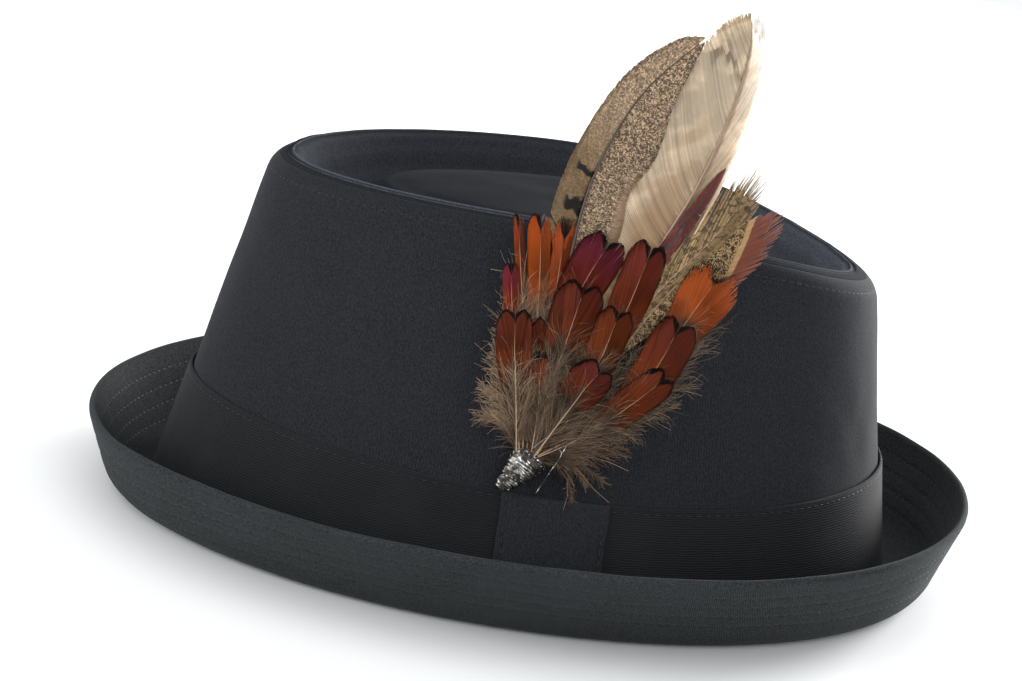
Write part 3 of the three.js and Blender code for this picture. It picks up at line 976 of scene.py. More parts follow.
def half_vane(feather, side, rng):
    """The barbs of one side of a feather, as thin closed ribbons that overlap like shingles."""
    half_number = 0 if side < 0 else 1
    outline = feather.outline[half_number]
    width = feather.widths[half_number]
    length = feather.length
    blunt = clamp(4.2 * width / length) if outline in (LOBE, ROUND_TIP) else 1.0
    first, last = feather.roots
    count = max(8, round(length * (last - first + 0.12) / feather.pitch))
    segments = 5
    bm = ribbons(count, segments)
    layer = bm.loops.layers.uv.new("feather")
    edge, tone, tint = barb_layers(bm)
    barbs = []
    split = 0.0
    for _ in range(count):
        if rng.random() < feather.splits:
            split = rng.uniform(-1, 1)
        split *= 0.88
        short = 1 - feather.rough * 0.25 * rng.random() ** 4
        cluster = 0.5 + 0.9 * noise.noise(Vector((len(barbs) * 0.37, length, side)))
        barbs.append((0.5 * rng.random() + 0.5 * cluster, split, short, rng.uniform(-1, 1)))
    spots = {}
    for vert in bm.verts:
        k, second = divmod(round(vert.co.x), 2)
        q = round(vert.co.y) / segments
        shade, lean, reach, lift = barbs[k]
        narrowed = 1 - 0.75 * smooth(0.9, 1.0, q) * feather.rough
        place = (k + 0.5 + (0.62 if second else -0.62) * narrowed) / count
        root = mix(first, last, clamp(place))
        end_along, end_aside = curve_through(outline, clamp(place + lean * feather.split_size * q * q))
        end_aside *= width
        end_along = TIP_TOP - (TIP_TOP - end_along) * mix(1.0, blunt, smooth(0.6, 0.95, end_along))
        bend_along = mix(root, end_along, BARB_BEND)
        bend_aside = end_aside * 0.62
        t = q * reach
        along = (1 - t) ** 2 * root + 2 * t * (1 - t) * bend_along + t * t * end_along
        aside = 2 * t * (1 - t) * bend_aside + t * t * end_aside
        span = math.hypot((end_along - root) * length, end_aside)
        out = 0.05 * lift * q + (0.07 if second else -0.07) + lean * 0.35 * q * feather.rough
        spots[vert] = (along, side * aside, out)
        vert[edge] = (1 - q) * span * reach
        vert[tone] = clamp(feather.light + 0.36 * (shade - 0.5) * (0.4 + feather.light))
        vert[tint] = feather.tint
    half = max(feather.widths)
    for face in bm.faces:
        for loop in face.loops:
            along, aside, _ = spots[loop.vert]
            loop[layer].uv = (0.5 + 0.5 * aside / half, along)
    for vert in bm.verts:
        vert.co = feather.point(*spots[vert])
    bmesh.ops.solidify(bm, geom=bm.faces[:], thickness=0.04)
    return bm


def strand_mesh(strands):
    """Fine closed barbs. Each strand is its points, its half width, its tone and how pale its tip is."""
    segments = 4
    bm = ribbons(len(strands), segments)
    bm.loops.layers.uv.new("feather")
    edge, tone, tint = barb_layers(bm)
    for vert in bm.verts:
        k, second = divmod(round(vert.co.x), 2)
        q = round(vert.co.y) / segments
        points, half, shade, pale = strands[k]
        across, up, out = curve_through(points, q)
        ahead = curve_through(points, q + 0.05) if q < 0.9 else points[-1]
        behind = curve_through(points, q - 0.05) if q > 0.1 else points[0]
        way = Vector((ahead[0] - behind[0], ahead[1] - behind[1]))
        way = way.normalized() if way.length > 1e-6 else Vector((0, 1))
        thin = half * (1 - 0.75 * q) * (1 if second else -1)
        vert.co = plume_point(across + way.y * thin, up - way.x * thin, out + thin * 0.6)
        vert[edge] = 1 - q
        vert[tone] = shade
        vert[tint] = pale
    bmesh.ops.solidify(bm, geom=bm.faces[:], thickness=0.04)
    return bm


def downy_barbs(spine, share_range, out_range, size_range, rng, count):
    """Soft barbs that leave both sides of a line in the plume's frame, sweep forward and curl."""
    strands = []
    low, high = share_range
    for k in range(count):
        side = 1 if k % 2 else -1
        share = mix(low, high, rng.random() ** 0.85)
        here = Vector(curve_through(spine, share))
        ahead = Vector(curve_through(spine, min(share + 0.02, 1.0)))
        behind = Vector(curve_through(spine, max(share - 0.02, 0.0)))
        way = (ahead - behind).normalized()
        sideways = Vector((way.y, -way.x)) * side
        out = mix(out_range[0], out_range[1], share)
        size = rng.uniform(*size_range) * mix(1.15, 0.6, share)
        angle = math.radians(rng.uniform(3, 46))
        wave = rng.gauss(0, 0.35)
        droop = rng.gauss(0, 0.6)
        lift = rng.uniform(-0.9, 1.5)
        spot = here.copy()
        points = [(spot.x, spot.y, out)]
        for step in range(1, 5):
            q = step / 4
            turned = angle * (1 - 0.35 * q) + wave * q + droop * q**3
            spot += (way * math.cos(turned) + sideways * math.sin(turned)) * (size / 4)
            points.append((spot.x, spot.y, out + lift * q))
        # Painted sheen: the down is paler towards the front of the hat and darker towards the back, with a
        # random spread per barb.
        shade = mix(0.75, 0.22, smooth(-8, 3, here.x)) + rng.uniform(-0.28, 0.28)
        strands.append((points, rng.uniform(0.025, 0.062), clamp(shade), rng.random()))
    return strands


def quill_rod(feather):
    """The shaft, thick at the stem and fine at the tip."""
    bm = rod(6, 24)
    layer = bm.loops.layers.uv.new("feather")
    edge, tone, tint = barb_layers(bm)
    spots = {vert: vert.co.z for vert in bm.verts}
    for face in bm.faces:
        for loop in face.loops:
            loop[layer].uv = (0.5, spots[loop.vert])
    for vert in bm.verts:
        share = spots[vert]
        radius = feather.quill * (1 - 0.85 * share**0.8)
        aside = vert.co.x * radius
        lift = (vert.co.y + 0.6) * radius + feather.shown * smooth(0.85, 0.6, share)
        vert.co = feather.point(share * feather.shaft_end, aside, lift)
        vert[edge] = 0.0
        vert[tone] = 0.5
        vert[tint] = feather.tint
    return bm


def feather_parts(feathers, seed):
    vanes = []
    quills = []
    for number, feather in enumerate(feathers):
        rng = random.Random(seed + number)
        for side in (-1, 1):
            vanes.append(half_vane(feather, side, rng))
        quills.append(quill_rod(feather))
    return vanes, quills


# Black bars left of the brown feather's shaft: where along it, and half how thick.
BROWN_BARS = ((0.434, 0.016), (0.529, 0.013), (0.62, 0.01))

BROWN_FEATHER = Feather(
    ((-0.8, 1.0), (0.8, 20), (2.4, 40), (4.0, 60.0), (8.0, 77.0), (17.0, 95.5), (31.0, 110.6)),
    7.2,
    12.5,
    (3.7, 5.2),
    outline=(
        ((0.14, 0.0), (0.2, 0.35), (0.34, 0.85), (0.5, 1.05))
        + ((0.68, 1.0), (0.84, 0.9), (0.94, 0.6), (1.0, 0.03)),
        ((0.12, 0.0), (0.2, 0.3), (0.34, 0.75), (0.5, 0.92))
        + ((0.62, 0.84), (0.72, 1.0), (0.84, 0.7), (0.99, 0.02)),
    ),
    pitch=0.42,
    rough=0.2,
    splits=0.02,
    split_size=0.012,
    roots=(0.1, 0.96),
    quill=0.75,
    cup=1.4,
)
CREAM_FEATHER = Feather(
    ((0.0, 1.0), (8.0, 17), (16.0, 34.0), (26.2, 57.0))
    + ((33.7, 73.2), (39.9, 92.0), (43.0, 107.7), (42.6, 117.5)),
    15.0,
    5.8,
    (3.3, 3.4),
    outline=(
        ((0.16, 0.0), (0.2, 0.4), (0.34, 0.9), (0.52, 1.0), (0.7, 1.0))
        + ((0.85, 0.86), (0.95, 0.56), (1.0, 0.28), (1.01, 0.02)),
        ((0.16, 0.0), (0.22, 0.45), (0.4, 0.95), (0.55, 1.05), (0.7, 0.92))
        + ((0.85, 0.82), (0.95, 0.7), (1.0, 0.4), (1.01, 0.02)),
    ),
    pitch=0.42,
    rough=0.35,
    splits=0.012,
    split_size=0.011,
    roots=(0.12, 0.97),
    quill=0.72,
    cup=0.8,
)
MAROON_SLIP = Feather(
    ((0.0, 1.0), (13.5, 28.0), (25.0, 52.0), (34.0, 67.5), (40.1, 78.5)),
    1.8,
    3.0,
    (4.0, 5.8),
    outline=(TALL_LEFT, TALL_RIGHT),
    rough=0.6,
    roots=(0.2, 0.97),
    quill=0.25,
)
STRIPED_WISP = Feather(
    ((0.5, 0.6), (15.0, 26.0), (26.7, 45.0), (38.5, 59.5), (47.5, 73.5)),
    5.6,
    4.0,
    (3.8, 5.4),
    outline=(FRINGED, FRINGED),
    pitch=0.36,
    tint=0.0,
    rough=1.4,
    splits=0.3,
    split_size=0.03,
    roots=(0.2, 0.93),
)
MOTTLED_FAN = Feather(
    ((0.8, 0.4), (16.0, 24.0), (28.0, 43.0), (38.5, 56.0), (46.5, 66.0)),
    3.0,
    11.5,
    (3.8, 5.0),
    outline=(
        ROUND_TIP,
        ((0.36, 0.1), (0.5, 0.55), (0.66, 0.9), (0.84, 1.0))
        + ((0.98, 0.94), (1.08, 0.74), (1.1, 0.4), (1.0, 0.02)),
    ),
    pitch=0.45,
    tint=1.0,
    rough=0.9,
    splits=0.15,
    roots=(0.25, 0.95),
)

# How frayed the copper feathers are, by outline; the others have crisp tips.
ROUGHNESS = {FAN: 0.7, FRINGED: 0.8}
CRISP = 0.12

# Copper body feathers: spine, left and right half widths, how far out, tint from orange to crimson,
# how light, outline and how far the lower shaft shows in front of the down.
WIDE_SPINE = ((0.9, -0.1), (19.0, 17), (31.0, 32.5), (37.0, 42.5), (41.0, 50.0))
BODY_FEATHERS = (
    (((-3.0, 0.8), (-5.4, 24), (-9.2, 46), (-11.3, 58.0)), 1.3, 1.5, (4.0, 5.4), 0.2, 0.42, ROUND_TIP, 0),
    (((-2.0, 0.8), (-3.0, 22), (-4.1, 43), (-5.7, 58.6)), 3.4, 2.8, (4.2, 6.0), 0.0, 0.72, LOBE, 0),
    (((-1.0, 0.8), (-0.4, 24), (0.3, 42), (0.8, 57.0)), 3.6, 3.8, (4.0, 5.6), 0.15, 0.54, FRINGED, 0),
    (((0.2, 0.3), (12.0, 22), (18.6, 38.5), (23.0, 54.6)), 5.4, 5.2, (4.6, 6.6), 0.45, 0.24, LOBE, 0),
    (WIDE_SPINE, 6.8, 7.6, (4.6, 6.2), 0.05, 0.44, FAN, 0),
    (((-0.3, 0.6), (1.5, 24), (6.0, 42), (11.7, 55.0)), 6.4, 6.2, (4.8, 7.2), 0.85, 0.24, LOBE, 0),
    (((-4.0, 0.8), (-7.5, 18), (-10.4, 36), (-11.9, 46.0)), 2.2, 2.2, (4.8, 6.8), 0.8, 0.56, ROUND_TIP, 0),
    (((-1.0, 0.8), (-0.6, 14), (-0.9, 25), (-1.6, 34.0)), 3.4, 3.6, (4.8, 6.8), 0.3, 0.15, ROUND_TIP, 0),
    (((-1.0, 0.8), (-0.8, 9), (-1.2, 17), (-1.8, 25.0)), 2.6, 2.6, (5.6, 7.6), 0.2, 0.2, FRINGED, 0),
    (((0.6, 0.0), (16.0, 10.5), (26.4, 22.6), (32.4, 36.4)), 5.7, 6.4, (5.4, 8.2), 0.38, 0.15, LOBE, 0),
    (((-0.5, 0.5), (1.9, 19.0), (4.4, 31.0), (6.8, 43.2)), 6.6, 6.4, (5.6, 8.8), 0.35, 0.11, LOBE, 0),
    (((0.3, 0.2), (8.5, 15.0), (13.4, 26.5), (16.3, 37.9)), 4.9, 4.9, (5.8, 9.2), 0.1, 0.13, LOBE, 0),
    (((-5.2, 0.5), (-6.3, 8.0), (-8.5, 23.0), (-9.9, 34.8)), 4.8, 4.8, (5.4, 9.6), 0.3, 0.14, LOBE, 2.2),
    (((0.8, -0.3), (10.4, 5.4), (20.0, 13.2), (30.2, 22.8)), 4.8, 4.4, (5.4, 8.2), 0.22, 0.13, LOBE, 0),
    (((-0.7, -0.2), (4.2, 8.6), (9.0, 16.8), (13.6, 23.4)), 6.0, 5.2, (6.0, 9.8), 0.5, 0.1, LOBE, 2.2),
)


def quill_material(name, dye, tip_share):
    """Horn of a feather's shaft: smooth, slightly glossy, its tip a share as bright as its root."""
    horn = Nodes(name)
    uv = horn.node("ShaderNodeUVMap", uv_map="feather")
    split = horn.node("ShaderNodeSeparateXYZ", {"Vector": uv.outputs[0]})
    grain = horn.noise(horn.place(), 900.0, 2.0, 0.5)
    tone = horn.math("ADD", split.outputs[1], horn.math("MULTIPLY", grain, 0.3))
    base = horn.blend(horn.span(tone, 0.3, 1.15), colour(dye, 0.75), colour(dye, tip_share))
    horn.set(Base_Color=base, Roughness=0.38, Normal=horn.bump(grain, 0.2, 0.0001))
    return horn.material


class Vane(Nodes):
    """A feather's material, with the place on the vane and each barb's distance from its tip, tone and tint."""

    def __init__(self, name):
        super().__init__(name)
        self.map = self.node("ShaderNodeUVMap", uv_map="feather").outputs[0]
        split = self.node("ShaderNodeSeparateXYZ", {"Vector": self.map})
        self.across = self.math("MULTIPLY", self.math("SUBTRACT", split.outputs[0], 0.5), 2.0)
        self.along = split.outputs[1]
        self.edge = self.attribute("to_edge").outputs["Fac"]
        self.tone = self.attribute("tone").outputs["Fac"]
        self.tint = self.attribute("tint").outputs["Fac"]

    def flecks(self, cells, distortion, low, high):
        """Dark flecks, cells being how many fit across and along the vane."""
        stretched = self.node("ShaderNodeMapping", {"Scale": (cells[0], cells[1], 1.0)})
        self.put(stretched.inputs["Vector"], self.map)
        values = {"Scale": 1.0, "Detail": 2.0, "Roughness": 0.6, "Distortion": distortion}
        made = self.node("ShaderNodeTexNoise", values)
        self.put(made.inputs["Vector"], stretched.outputs[0])
        return self.span(made.outputs[0], low, high)

    def finish(self, base, roughness, sheen=0.0, shine=0.25):
        """Gives the barbs their tones, and the surface its fibres."""
        tones = self.blend(self.tone, (0.15, 0.15, 0.15, 1), (1.85, 1.85, 1.85, 1))
        shaded = self.blend(1.0, base, tones, "MULTIPLY")
        fibres = self.noise(self.place(), 2600.0, 2.0, 0.6)
        self.set(Base_Color=shaded, Roughness=roughness, Normal=self.bump(fibres, 0.35, 0.0001))
        self.set(Sheen_Weight=sheen, Sheen_Roughness=0.4)
        self.shader.inputs["Specular IOR Level"].default_value = shine
        return self.material


def copper_material(name, orange, crimson, fluff):
    """Copper body feather: downy base, orange or crimson vane, purple near the tip, black rim and notch."""
    vane = Vane(name)
    across, along, tint = vane.across, vane.along, vane.tint
    mottle = vane.noise(vane.place(), 260.0, 2.0, 0.6)
    patches = vane.noise(vane.place(), 95.0, 2.0, 0.5)
    bright = vane.blend(tint, colour(orange), colour(crimson))
    rust = vane.blend(tint, colour(orange, 0.5), colour(crimson, 0.55))
    bright = vane.blend(vane.span(patches, 0.35, 0.65), rust, bright)
    tip = vane.blend(tint, colour(orange, 0.9), (0.17, 0.012, 0.05, 1))
    deep = vane.blend(vane.span(along, 0.7, 0.95, 0.0, 0.9), bright, tip)
    shifted = vane.math("ADD", along, vane.math("MULTIPLY", vane.math("SUBTRACT", mottle, 0.5), 0.25))
    downy = vane.blend(vane.span(mottle, 0.35, 0.65), colour(fluff, 0.35), colour(fluff, 0.8))
    base = vane.blend(vane.span(shifted, 0.5, 0.66), downy, deep)
    ragged = vane.math("MULTIPLY", vane.span(patches, 0.52, 0.66), 1.6)
    reach = vane.math("SUBTRACT", vane.edge, vane.math("MULTIPLY", ragged, vane.math("SUBTRACT", 1.0, tint)))
    rim = vane.math("MULTIPLY", vane.span(reach, 0.85, 0.4), vane.span(along, 0.72, 0.84))
    opening = vane.math("POWER", vane.span(along, 0.9, 1.045), 1.5)
    opening = vane.math("SUBTRACT", vane.math("MULTIPLY", opening, 0.4), 0.01)
    notch = vane.span(vane.math("SUBTRACT", vane.math("ABSOLUTE", across), opening), 0.05, -0.01)
    notch = vane.math("MULTIPLY", notch, vane.span(along, 0.88, 0.9))
    black = vane.math("MAXIMUM", rim, notch)
    base = vane.blend(vane.math("MULTIPLY", black, 0.97), base, (0.006, 0.005, 0.006, 1))
    return vane.finish(base, 0.6, shine=0.1)


def colour_node(vane, base, factor):
    """A colour socket made lighter or darker."""
    return vane.blend(1.0, base, (factor, factor, factor, 1.0), "MULTIPLY")


def brown_material(name, buff, dark):
    """Barred brown feather: black bars left of the shaft, dark wavy flecks to the right, buff lower edge."""
    vane = Vane(name)
    across, along = vane.across, vane.along
    coarse = vane.flecks((30.0, 150.0), 1.5, 0.45, 0.53)
    fine = vane.flecks((44.0, 210.0), 0.5, 0.44, 0.56)
    right = vane.span(across, -0.04, 0.04)
    upper = vane.span(along, 0.62, 0.84)
    strong = vane.math("MULTIPLY", coarse, vane.math("MAXIMUM", right, vane.math("MULTIPLY", upper, 0.7)))
    plain = vane.math("MULTIPLY", vane.span(across, 0.6, 0.8), vane.span(along, 0.72, 0.55))
    strong = vane.math("MULTIPLY", strong, vane.math("SUBTRACT", 1.0, plain))
    shade = vane.noise(vane.place(), 130.0, 3.0, 0.6)
    ground = vane.blend(vane.span(shade, 0.3, 0.7), colour(buff, 0.72), colour(buff, 1.15))
    pale_share = vane.math("MAXIMUM", right, upper)
    ground = vane.blend(pale_share, colour_node(vane, ground, 0.8), (0.62, 0.45, 0.29, 1))
    ground = vane.blend(vane.math("MULTIPLY", fine, 0.6), ground, colour(buff, 0.35))
    ground = vane.blend(plain, ground, (0.34, 0.22, 0.14, 1))
    base = vane.blend(vane.math("MULTIPLY", strong, 0.86), ground, colour(dark))
    left_zone = vane.math("MULTIPLY", vane.span(across, 0.0, -0.03), vane.span(across, -0.46, -0.36))
    wobble = vane.math("MULTIPLY", vane.math("SUBTRACT", shade, 0.5), 0.12)
    slant = vane.math("ADD", vane.math("MULTIPLY", across, 0.02), wobble)
    bars = None
    for spot, half in BROWN_BARS:
        away = vane.math("ABSOLUTE", vane.math("ADD", vane.math("SUBTRACT", along, spot), slant))
        bar = vane.span(away, half + 0.006, half - 0.004)
        bars = bar if bars is None else vane.math("MAXIMUM", bars, bar)
    base = vane.blend(vane.math("MULTIPLY", bars, left_zone), base, (0.01, 0.008, 0.007, 1))
    return vane.finish(base, 0.6)


def cream_material(name, cream, tan):
    """Cream wing feather with faint tan bars."""
    vane = Vane(name)
    across, along = vane.across, vane.along
    slant = vane.math("ADD", along, vane.math("MULTIPLY", across, -0.12))
    cloud = vane.noise(vane.place(), 110.0, 3.0, 0.6)
    slant = vane.math("ADD", slant, vane.math("MULTIPLY", cloud, 0.05))
    bars = vane.math("SINE", vane.math("MULTIPLY", slant, 62.0))
    share = vane.math("MULTIPLY", vane.span(bars, 0.1, 1.0), vane.span(cloud, 0.38, 0.62))
    share = vane.math("MULTIPLY", share, 0.4)
    # Painted sheen: the cream is made paler and darker in cloudy patches.
    sheen_painted_cream = vane.blend(vane.span(cloud, 0.4, 0.65), colour(cream, 0.86), colour(cream, 1.3))
    base = vane.blend(share, sheen_painted_cream, colour(tan))
    near_shaft = vane.span(vane.math("ABSOLUTE", vane.math("ADD", across, 0.1)), 0.75, 0.25, 0.3, 1.0)
    tanned = vane.math("MULTIPLY", vane.span(along, 0.78, 0.4, 0.0, 0.8), near_shaft)
    base = vane.blend(tanned, base, colour(tan, 0.95))
    return vane.finish(base, 0.5, sheen=0.05)


def plain_feather_material(name, dye, deep):
    vane = Vane(name)
    cloud = vane.noise(vane.place(), 200.0, 3.0, 0.6)
    base = vane.blend(vane.span(cloud, 0.3, 0.7), colour(deep), colour(dye))
    return vane.finish(base, 0.5, sheen=0.2)


def mottled_material(name, buff, dark, rust):
    """Streaky brown wisp with pale tips, and a fan: mottled by the shaft, then a buff stripe and rust."""
    vane = Vane(name)
    across, along, tint = vane.across, vane.along, vane.tint
    fleck = vane.flecks((26.0, 90.0), 1.4, 0.44, 0.54)
    mottled = vane.blend(fleck, colour(buff, 1.1), colour(dark))
    streak = vane.span(vane.tone, 0.3, 0.7)
    streaky = vane.blend(streak, colour(dark, 1.3), colour(buff, 1.25))
    blotch = vane.flecks((9.0, 40.0), 0.8, 0.5, 0.58)
    streaky = vane.blend(vane.math("MULTIPLY", blotch, 0.75), streaky, colour(dark, 1.2))
    inner = vane.math("MULTIPLY", vane.span(across, 0.02, 0.06), tint)
    base = vane.blend(inner, streaky, mottled)
    outwards = vane.math("ADD", across, vane.math("MULTIPLY", vane.math("SUBTRACT", along, 0.85), 1.9))
    stripe = vane.math("MULTIPLY", vane.span(outwards, 0.38, 0.42), vane.span(outwards, 0.55, 0.51))
    outer = vane.math("MULTIPLY", vane.span(outwards, 0.51, 0.55), tint)
    base = vane.blend(vane.math("MULTIPLY", stripe, tint), base, (0.46, 0.3, 0.14, 1))
    base = vane.blend(outer, base, colour(rust))
    pale = vane.math("MULTIPLY", vane.span(along, 0.95, 1.05), vane.math("SUBTRACT", 1.0, tint))
    base = vane.blend(pale, base, (0.5, 0.43, 0.34, 1))
    return vane.finish(base, 0.55)


def down_material(name, dark, pale):
    """Down: grey-brown, with fawn tips on some barbs."""
    fluff = Nodes(name)
    to_tip = fluff.attribute("to_edge").outputs["Fac"]
    tone = fluff.attribute("tone").outputs["Fac"]
    paleness = fluff.attribute("tint").outputs["Fac"]
    clouds = fluff.noise(fluff.place(), 140.0, 2.0, 0.5)
    light = fluff.math("MULTIPLY", fluff.span(to_tip, 0.75, 0.05), fluff.math("POWER", paleness, 1.6))
    base = fluff.blend(fluff.span(clouds, 0.3, 0.7, 0.0, 0.35), colour(dark), colour(pale))
    base = fluff.blend(light, base, colour(pale))
    base = fluff.blend(1.0, base, fluff.blend(tone, (0.4, 0.4, 0.4, 1), (1.8, 1.8, 1.8, 1)), "MULTIPLY")
    grain = fluff.noise(fluff.place(), 1800.0, 2.0, 0.6)
    fluff.set(Base_Color=base, Roughness=0.8, Normal=fluff.bump(grain, 0.3, 0.0001))
    fluff.shader.inputs["Specular IOR Level"].default_value = 0.25
    return fluff.material


def silver_material(name, metal):
    """Wound metallic thread: painted glints, dull grey and tarnish in the hollows."""
    wire = Nodes(name)
    cloud = wire.noise(wire.place(), 420.0, 3.0, 0.7)
    painted_glint = wire.noise(wire.place(), 900.0, 1.0, 0.5)
    base = wire.blend(wire.span(cloud, 0.42, 0.6), colour(metal, 0.08), colour(metal, 0.6))
    # Painted glints: bright spots put into the metal's colour.
    base = wire.blend(wire.span(painted_glint, 0.62, 0.68), base, colour(metal, 1.8))
    wire.set(Base_Color=base, Metallic=1.0, Normal=wire.bump(cloud, 0.6, 0.0003))
    wire.set(Roughness=wire.span(cloud, 0.3, 0.7, 0.55, 0.25))
    return wire.material


# The fluff at the foot of each body feather: where along its shaft, and the length of its barbs.
FLUFF_RANGE = (0.02, 0.6)
FLUFF_SIZES = (7.0, 14.0)

# Locks of down: a line from the bound stem to the tip, length of its barbs and how far out it lies.
DOWN_LOCKS = (
    (((-1.6, 0.4), (-7.0, 6.5), (-13.4, 8.6)), (3.0, 6.0), (3.6, 5.0)),
    (((-1.6, 0.6), (-6.6, 9.0), (-12.8, 14.6)), (4.0, 7.0), (4.0, 5.6)),
    (((-1.4, 0.8), (-6.0, 12.0), (-11.8, 20.8)), (4.0, 8.0), (4.6, 6.6)),
    (((-1.2, 0.8), (-5.6, 14.0), (-12.0, 27.0)), (4.0, 7.0), (4.4, 6.0)),
    (((-0.8, 0.8), (-3.2, 12.0), (-7.0, 21.0)), (4.0, 8.0), (5.6, 8.4)),
    (((-0.4, 0.8), (-0.6, 12.0), (-2.6, 23.0)), (4.0, 8.0), (5.6, 8.0)),
    (((0.0, 0.8), (1.2, 11.0), (2.2, 22.0)), (4.0, 8.0), (5.8, 8.2)),
    (((0.4, 0.8), (3.6, 10.0), (6.0, 18.5)), (4.0, 8.0), (6.0, 8.8)),
    (((0.8, 0.6), (6.0, 12.0), (11.2, 26.0)), (4.0, 8.0), (5.4, 7.4)),
    (((1.0, 0.6), (8.0, 10.0), (16.0, 21.0)), (4.0, 8.0), (5.8, 8.0)),
    (((1.2, 0.4), (12.0, 12.0), (22.6, 29.0)), (4.0, 8.0), (5.2, 7.2)),
    (((1.4, 0.2), (24.0, 18.0), (42.5, 38.0)), (5.0, 10.0), (4.2, 5.4)),
    (((1.4, 0.2), (22.0, 15.0), (39.5, 31.5)), (5.0, 9.0), (4.4, 6.0)),
    (((1.4, 0.0), (20.0, 11.0), (35.5, 22.5)), (5.0, 9.0), (4.8, 6.4)),
    (((1.4, -0.2), (17.0, 8.5), (31.0, 16.0)), (5.0, 9.0), (5.2, 6.8)),
    (((1.4, -0.4), (13.0, 5.0), (23.5, 9.5)), (4.0, 7.0), (5.4, 6.8)),
    (((1.4, -0.6), (11.0, 1.8), (20.5, 3.6)), (3.0, 6.5), (5.2, 6.4)),
    (((1.4, -1.0), (10.5, -0.2), (18.2, -4.6)), (1.6, 3.6), (5.0, 6.0)),
    (((1.2, -1.2), (8.0, -1.4), (10.8, -10.2)), (1.2, 2.6), (5.0, 5.4)),
    (((1.2, -1.2), (9.2, -0.9), (14.0, -6.2)), (1.4, 3.0), (5.0, 5.8)),
)
# One stiff, bare little shaft below the down, and two pale ones beside it.
BARE_SHAFTS = (
    ((1.4, -0.6), (9.0, -0.4), (14.6, -5.6), (20.6, -9.8)),
    ((1.2, -1.2), (7.6, -2.6), (9.6, -8.0), (9.0, -12.8)),
    ((1.4, 0.0), (12.0, 1.2), (18.0, 0.8), (24.6, -1.2)),
)


STEM_FLATNESS = 0.68
THREAD_HALF_WIDTH = 0.13


def stem_point(angle, along, radius):
    """A point on the bound stem, along it from its foot."""
    lean = math.radians(STEM_LEAN)
    way = Vector((math.sin(lean), math.cos(lean)))
    side = Vector((way.y, -way.x))
    spot = way * (along - STEM_LENGTH) + side * (radius * math.cos(angle))
    return plume_point(spot.x, spot.y, STEM_OUT + STEM_FLATNESS * radius * math.sin(angle))


def stem_radius(along):
    return mix(1.2, 4.7, clamp(along / STEM_LENGTH) ** 0.85)


def make_quill_bundle(horn):
    """The quill ends inside the thread. They taper to the foot and run on up into the down."""
    core = rod(24, 30)
    for vert in core.verts:
        angle = math.atan2(vert.co.y, vert.co.x)
        along = vert.co.z * (STEM_LENGTH + 2.6)
        narrowed = 1 - 0.45 * smooth(STEM_LENGTH - 2, STEM_LENGTH + 2.6, along)
        radius = math.hypot(vert.co.x, vert.co.y) * (stem_radius(along) - 0.1) * narrowed
        dent = 0.3 * math.sin(angle * 9) * min(1.0, radius)
        dent += 0.3 * soft_noise(Vector((angle, along, 0.0)), 0.9)
        vert.co = stem_point(angle, along, max(0.0, radius + dent))
    core.loops.layers.uv.new("feather")
    return finish_mesh(core, "quill_bundle", horn, merge=1e-6)


# Each layer of winding: how many turns, how far up the stem it goes and how thick its thread is, in mm.
WINDINGS = ((16, 0.8, 0.26), (12, 0.97, 0.22), (9, 0.9, 0.2), (6, 0.7, 0.24))


def make_binding(silver):
    """Silver thread wound round the quills, in uneven turns that cross here and there and leave gaps."""
    rng = random.Random(7)
    parts = []
    for number, (turns, share, thick) in enumerate(WINDINGS):
        thread = rod(5, 22 * turns)
        lean = rng.uniform(0.5, 1.3)
        start = rng.uniform(0, FULL_TURN)
        for vert in thread.verts:
            t = vert.co.z
            angle = start + (turns * FULL_TURN * t) * (-1 if number % 2 else 1)
            slow = 0.8 * math.sin(angle * 0.37 + lean * 6) + 0.5 * math.sin(angle * 0.83 + lean)
            along = STEM_LENGTH * share * t + lean * math.sin(angle + lean) + slow
            along = clamp(along, 0.1, STEM_LENGTH - 0.2)
            loose = 0.35 * max(0.0, soft_noise(Vector((math.cos(angle), math.sin(angle), angle * 0.3)), 1.1))
            outer = stem_radius(along) + 0.08 + 0.1 * number + loose + vert.co.x * thick
            vert.co = stem_point(angle, along + vert.co.y * thick, outer)
        parts.append(thread)
    return finish_mesh(joined(parts), "binding_thread", silver, merge=1e-6)


def make_loose_threads(silver):
    """Two fine silver ends that hang off the binding."""
    ends = (
        ((4.6, 2.6, 6.6), (6.6, 1.2, 7.2), (4.2, -4.0, 6.4), (1.6, -9.6, 5.2)),
        ((-1.4, 1.2, 7.0), (3.0, 5.4, 7.8), (7.4, 4.4, 7.4), (6.8, 1.2, 6.8)),
    )
    parts = []
    for points in ends:
        thread = rod(5, 24)
        for vert in thread.verts:
            t = vert.co.z
            across, up, out = curve_through(points, t)
            beside = vert.co.x * THREAD_HALF_WIDTH
            vert.co = plume_point(across + beside, up + vert.co.y * 0.05, out + vert.co.y * THREAD_HALF_WIDTH)
        parts.append(thread)
    return finish_mesh(joined(parts), "binding_loose_ends", silver, merge=1e-6)


# Settings


def dye_setting(name, of_what, dye):
    """A colour that the panel offers."""
    return FloatVectorProperty(name=name, description="Dye of the " + of_what, subtype="COLOR", default=dye)


class HatClothSettings(bpy.types.PropertyGroup):
    """Sizes and colours of the hat's cloth."""

    twill_pitch: FloatProperty(name="Twill pitch", description="Distance between ribs, in mm", default=0.42)
    rib_pitch: FloatProperty(name="Band rib pitch", description="Distance between ribs, in mm", default=0.68)
    stitch_pitch: FloatProperty(name="Stitch pitch", description="Length of one stitch, in mm", default=2.8)
    crown_colour: dye_setting("Crown colour", "crown", (0.012, 0.013, 0.0155))
    brim_colour: dye_setting("Brim colour", "brim", (0.0195, 0.022, 0.0233))
    band_colour: dye_setting("Band colour", "hatband", (0.0098, 0.0102, 0.0118))
    thread_colour: dye_setting("Thread colour", "sewing thread", (0.0085, 0.0092, 0.011))


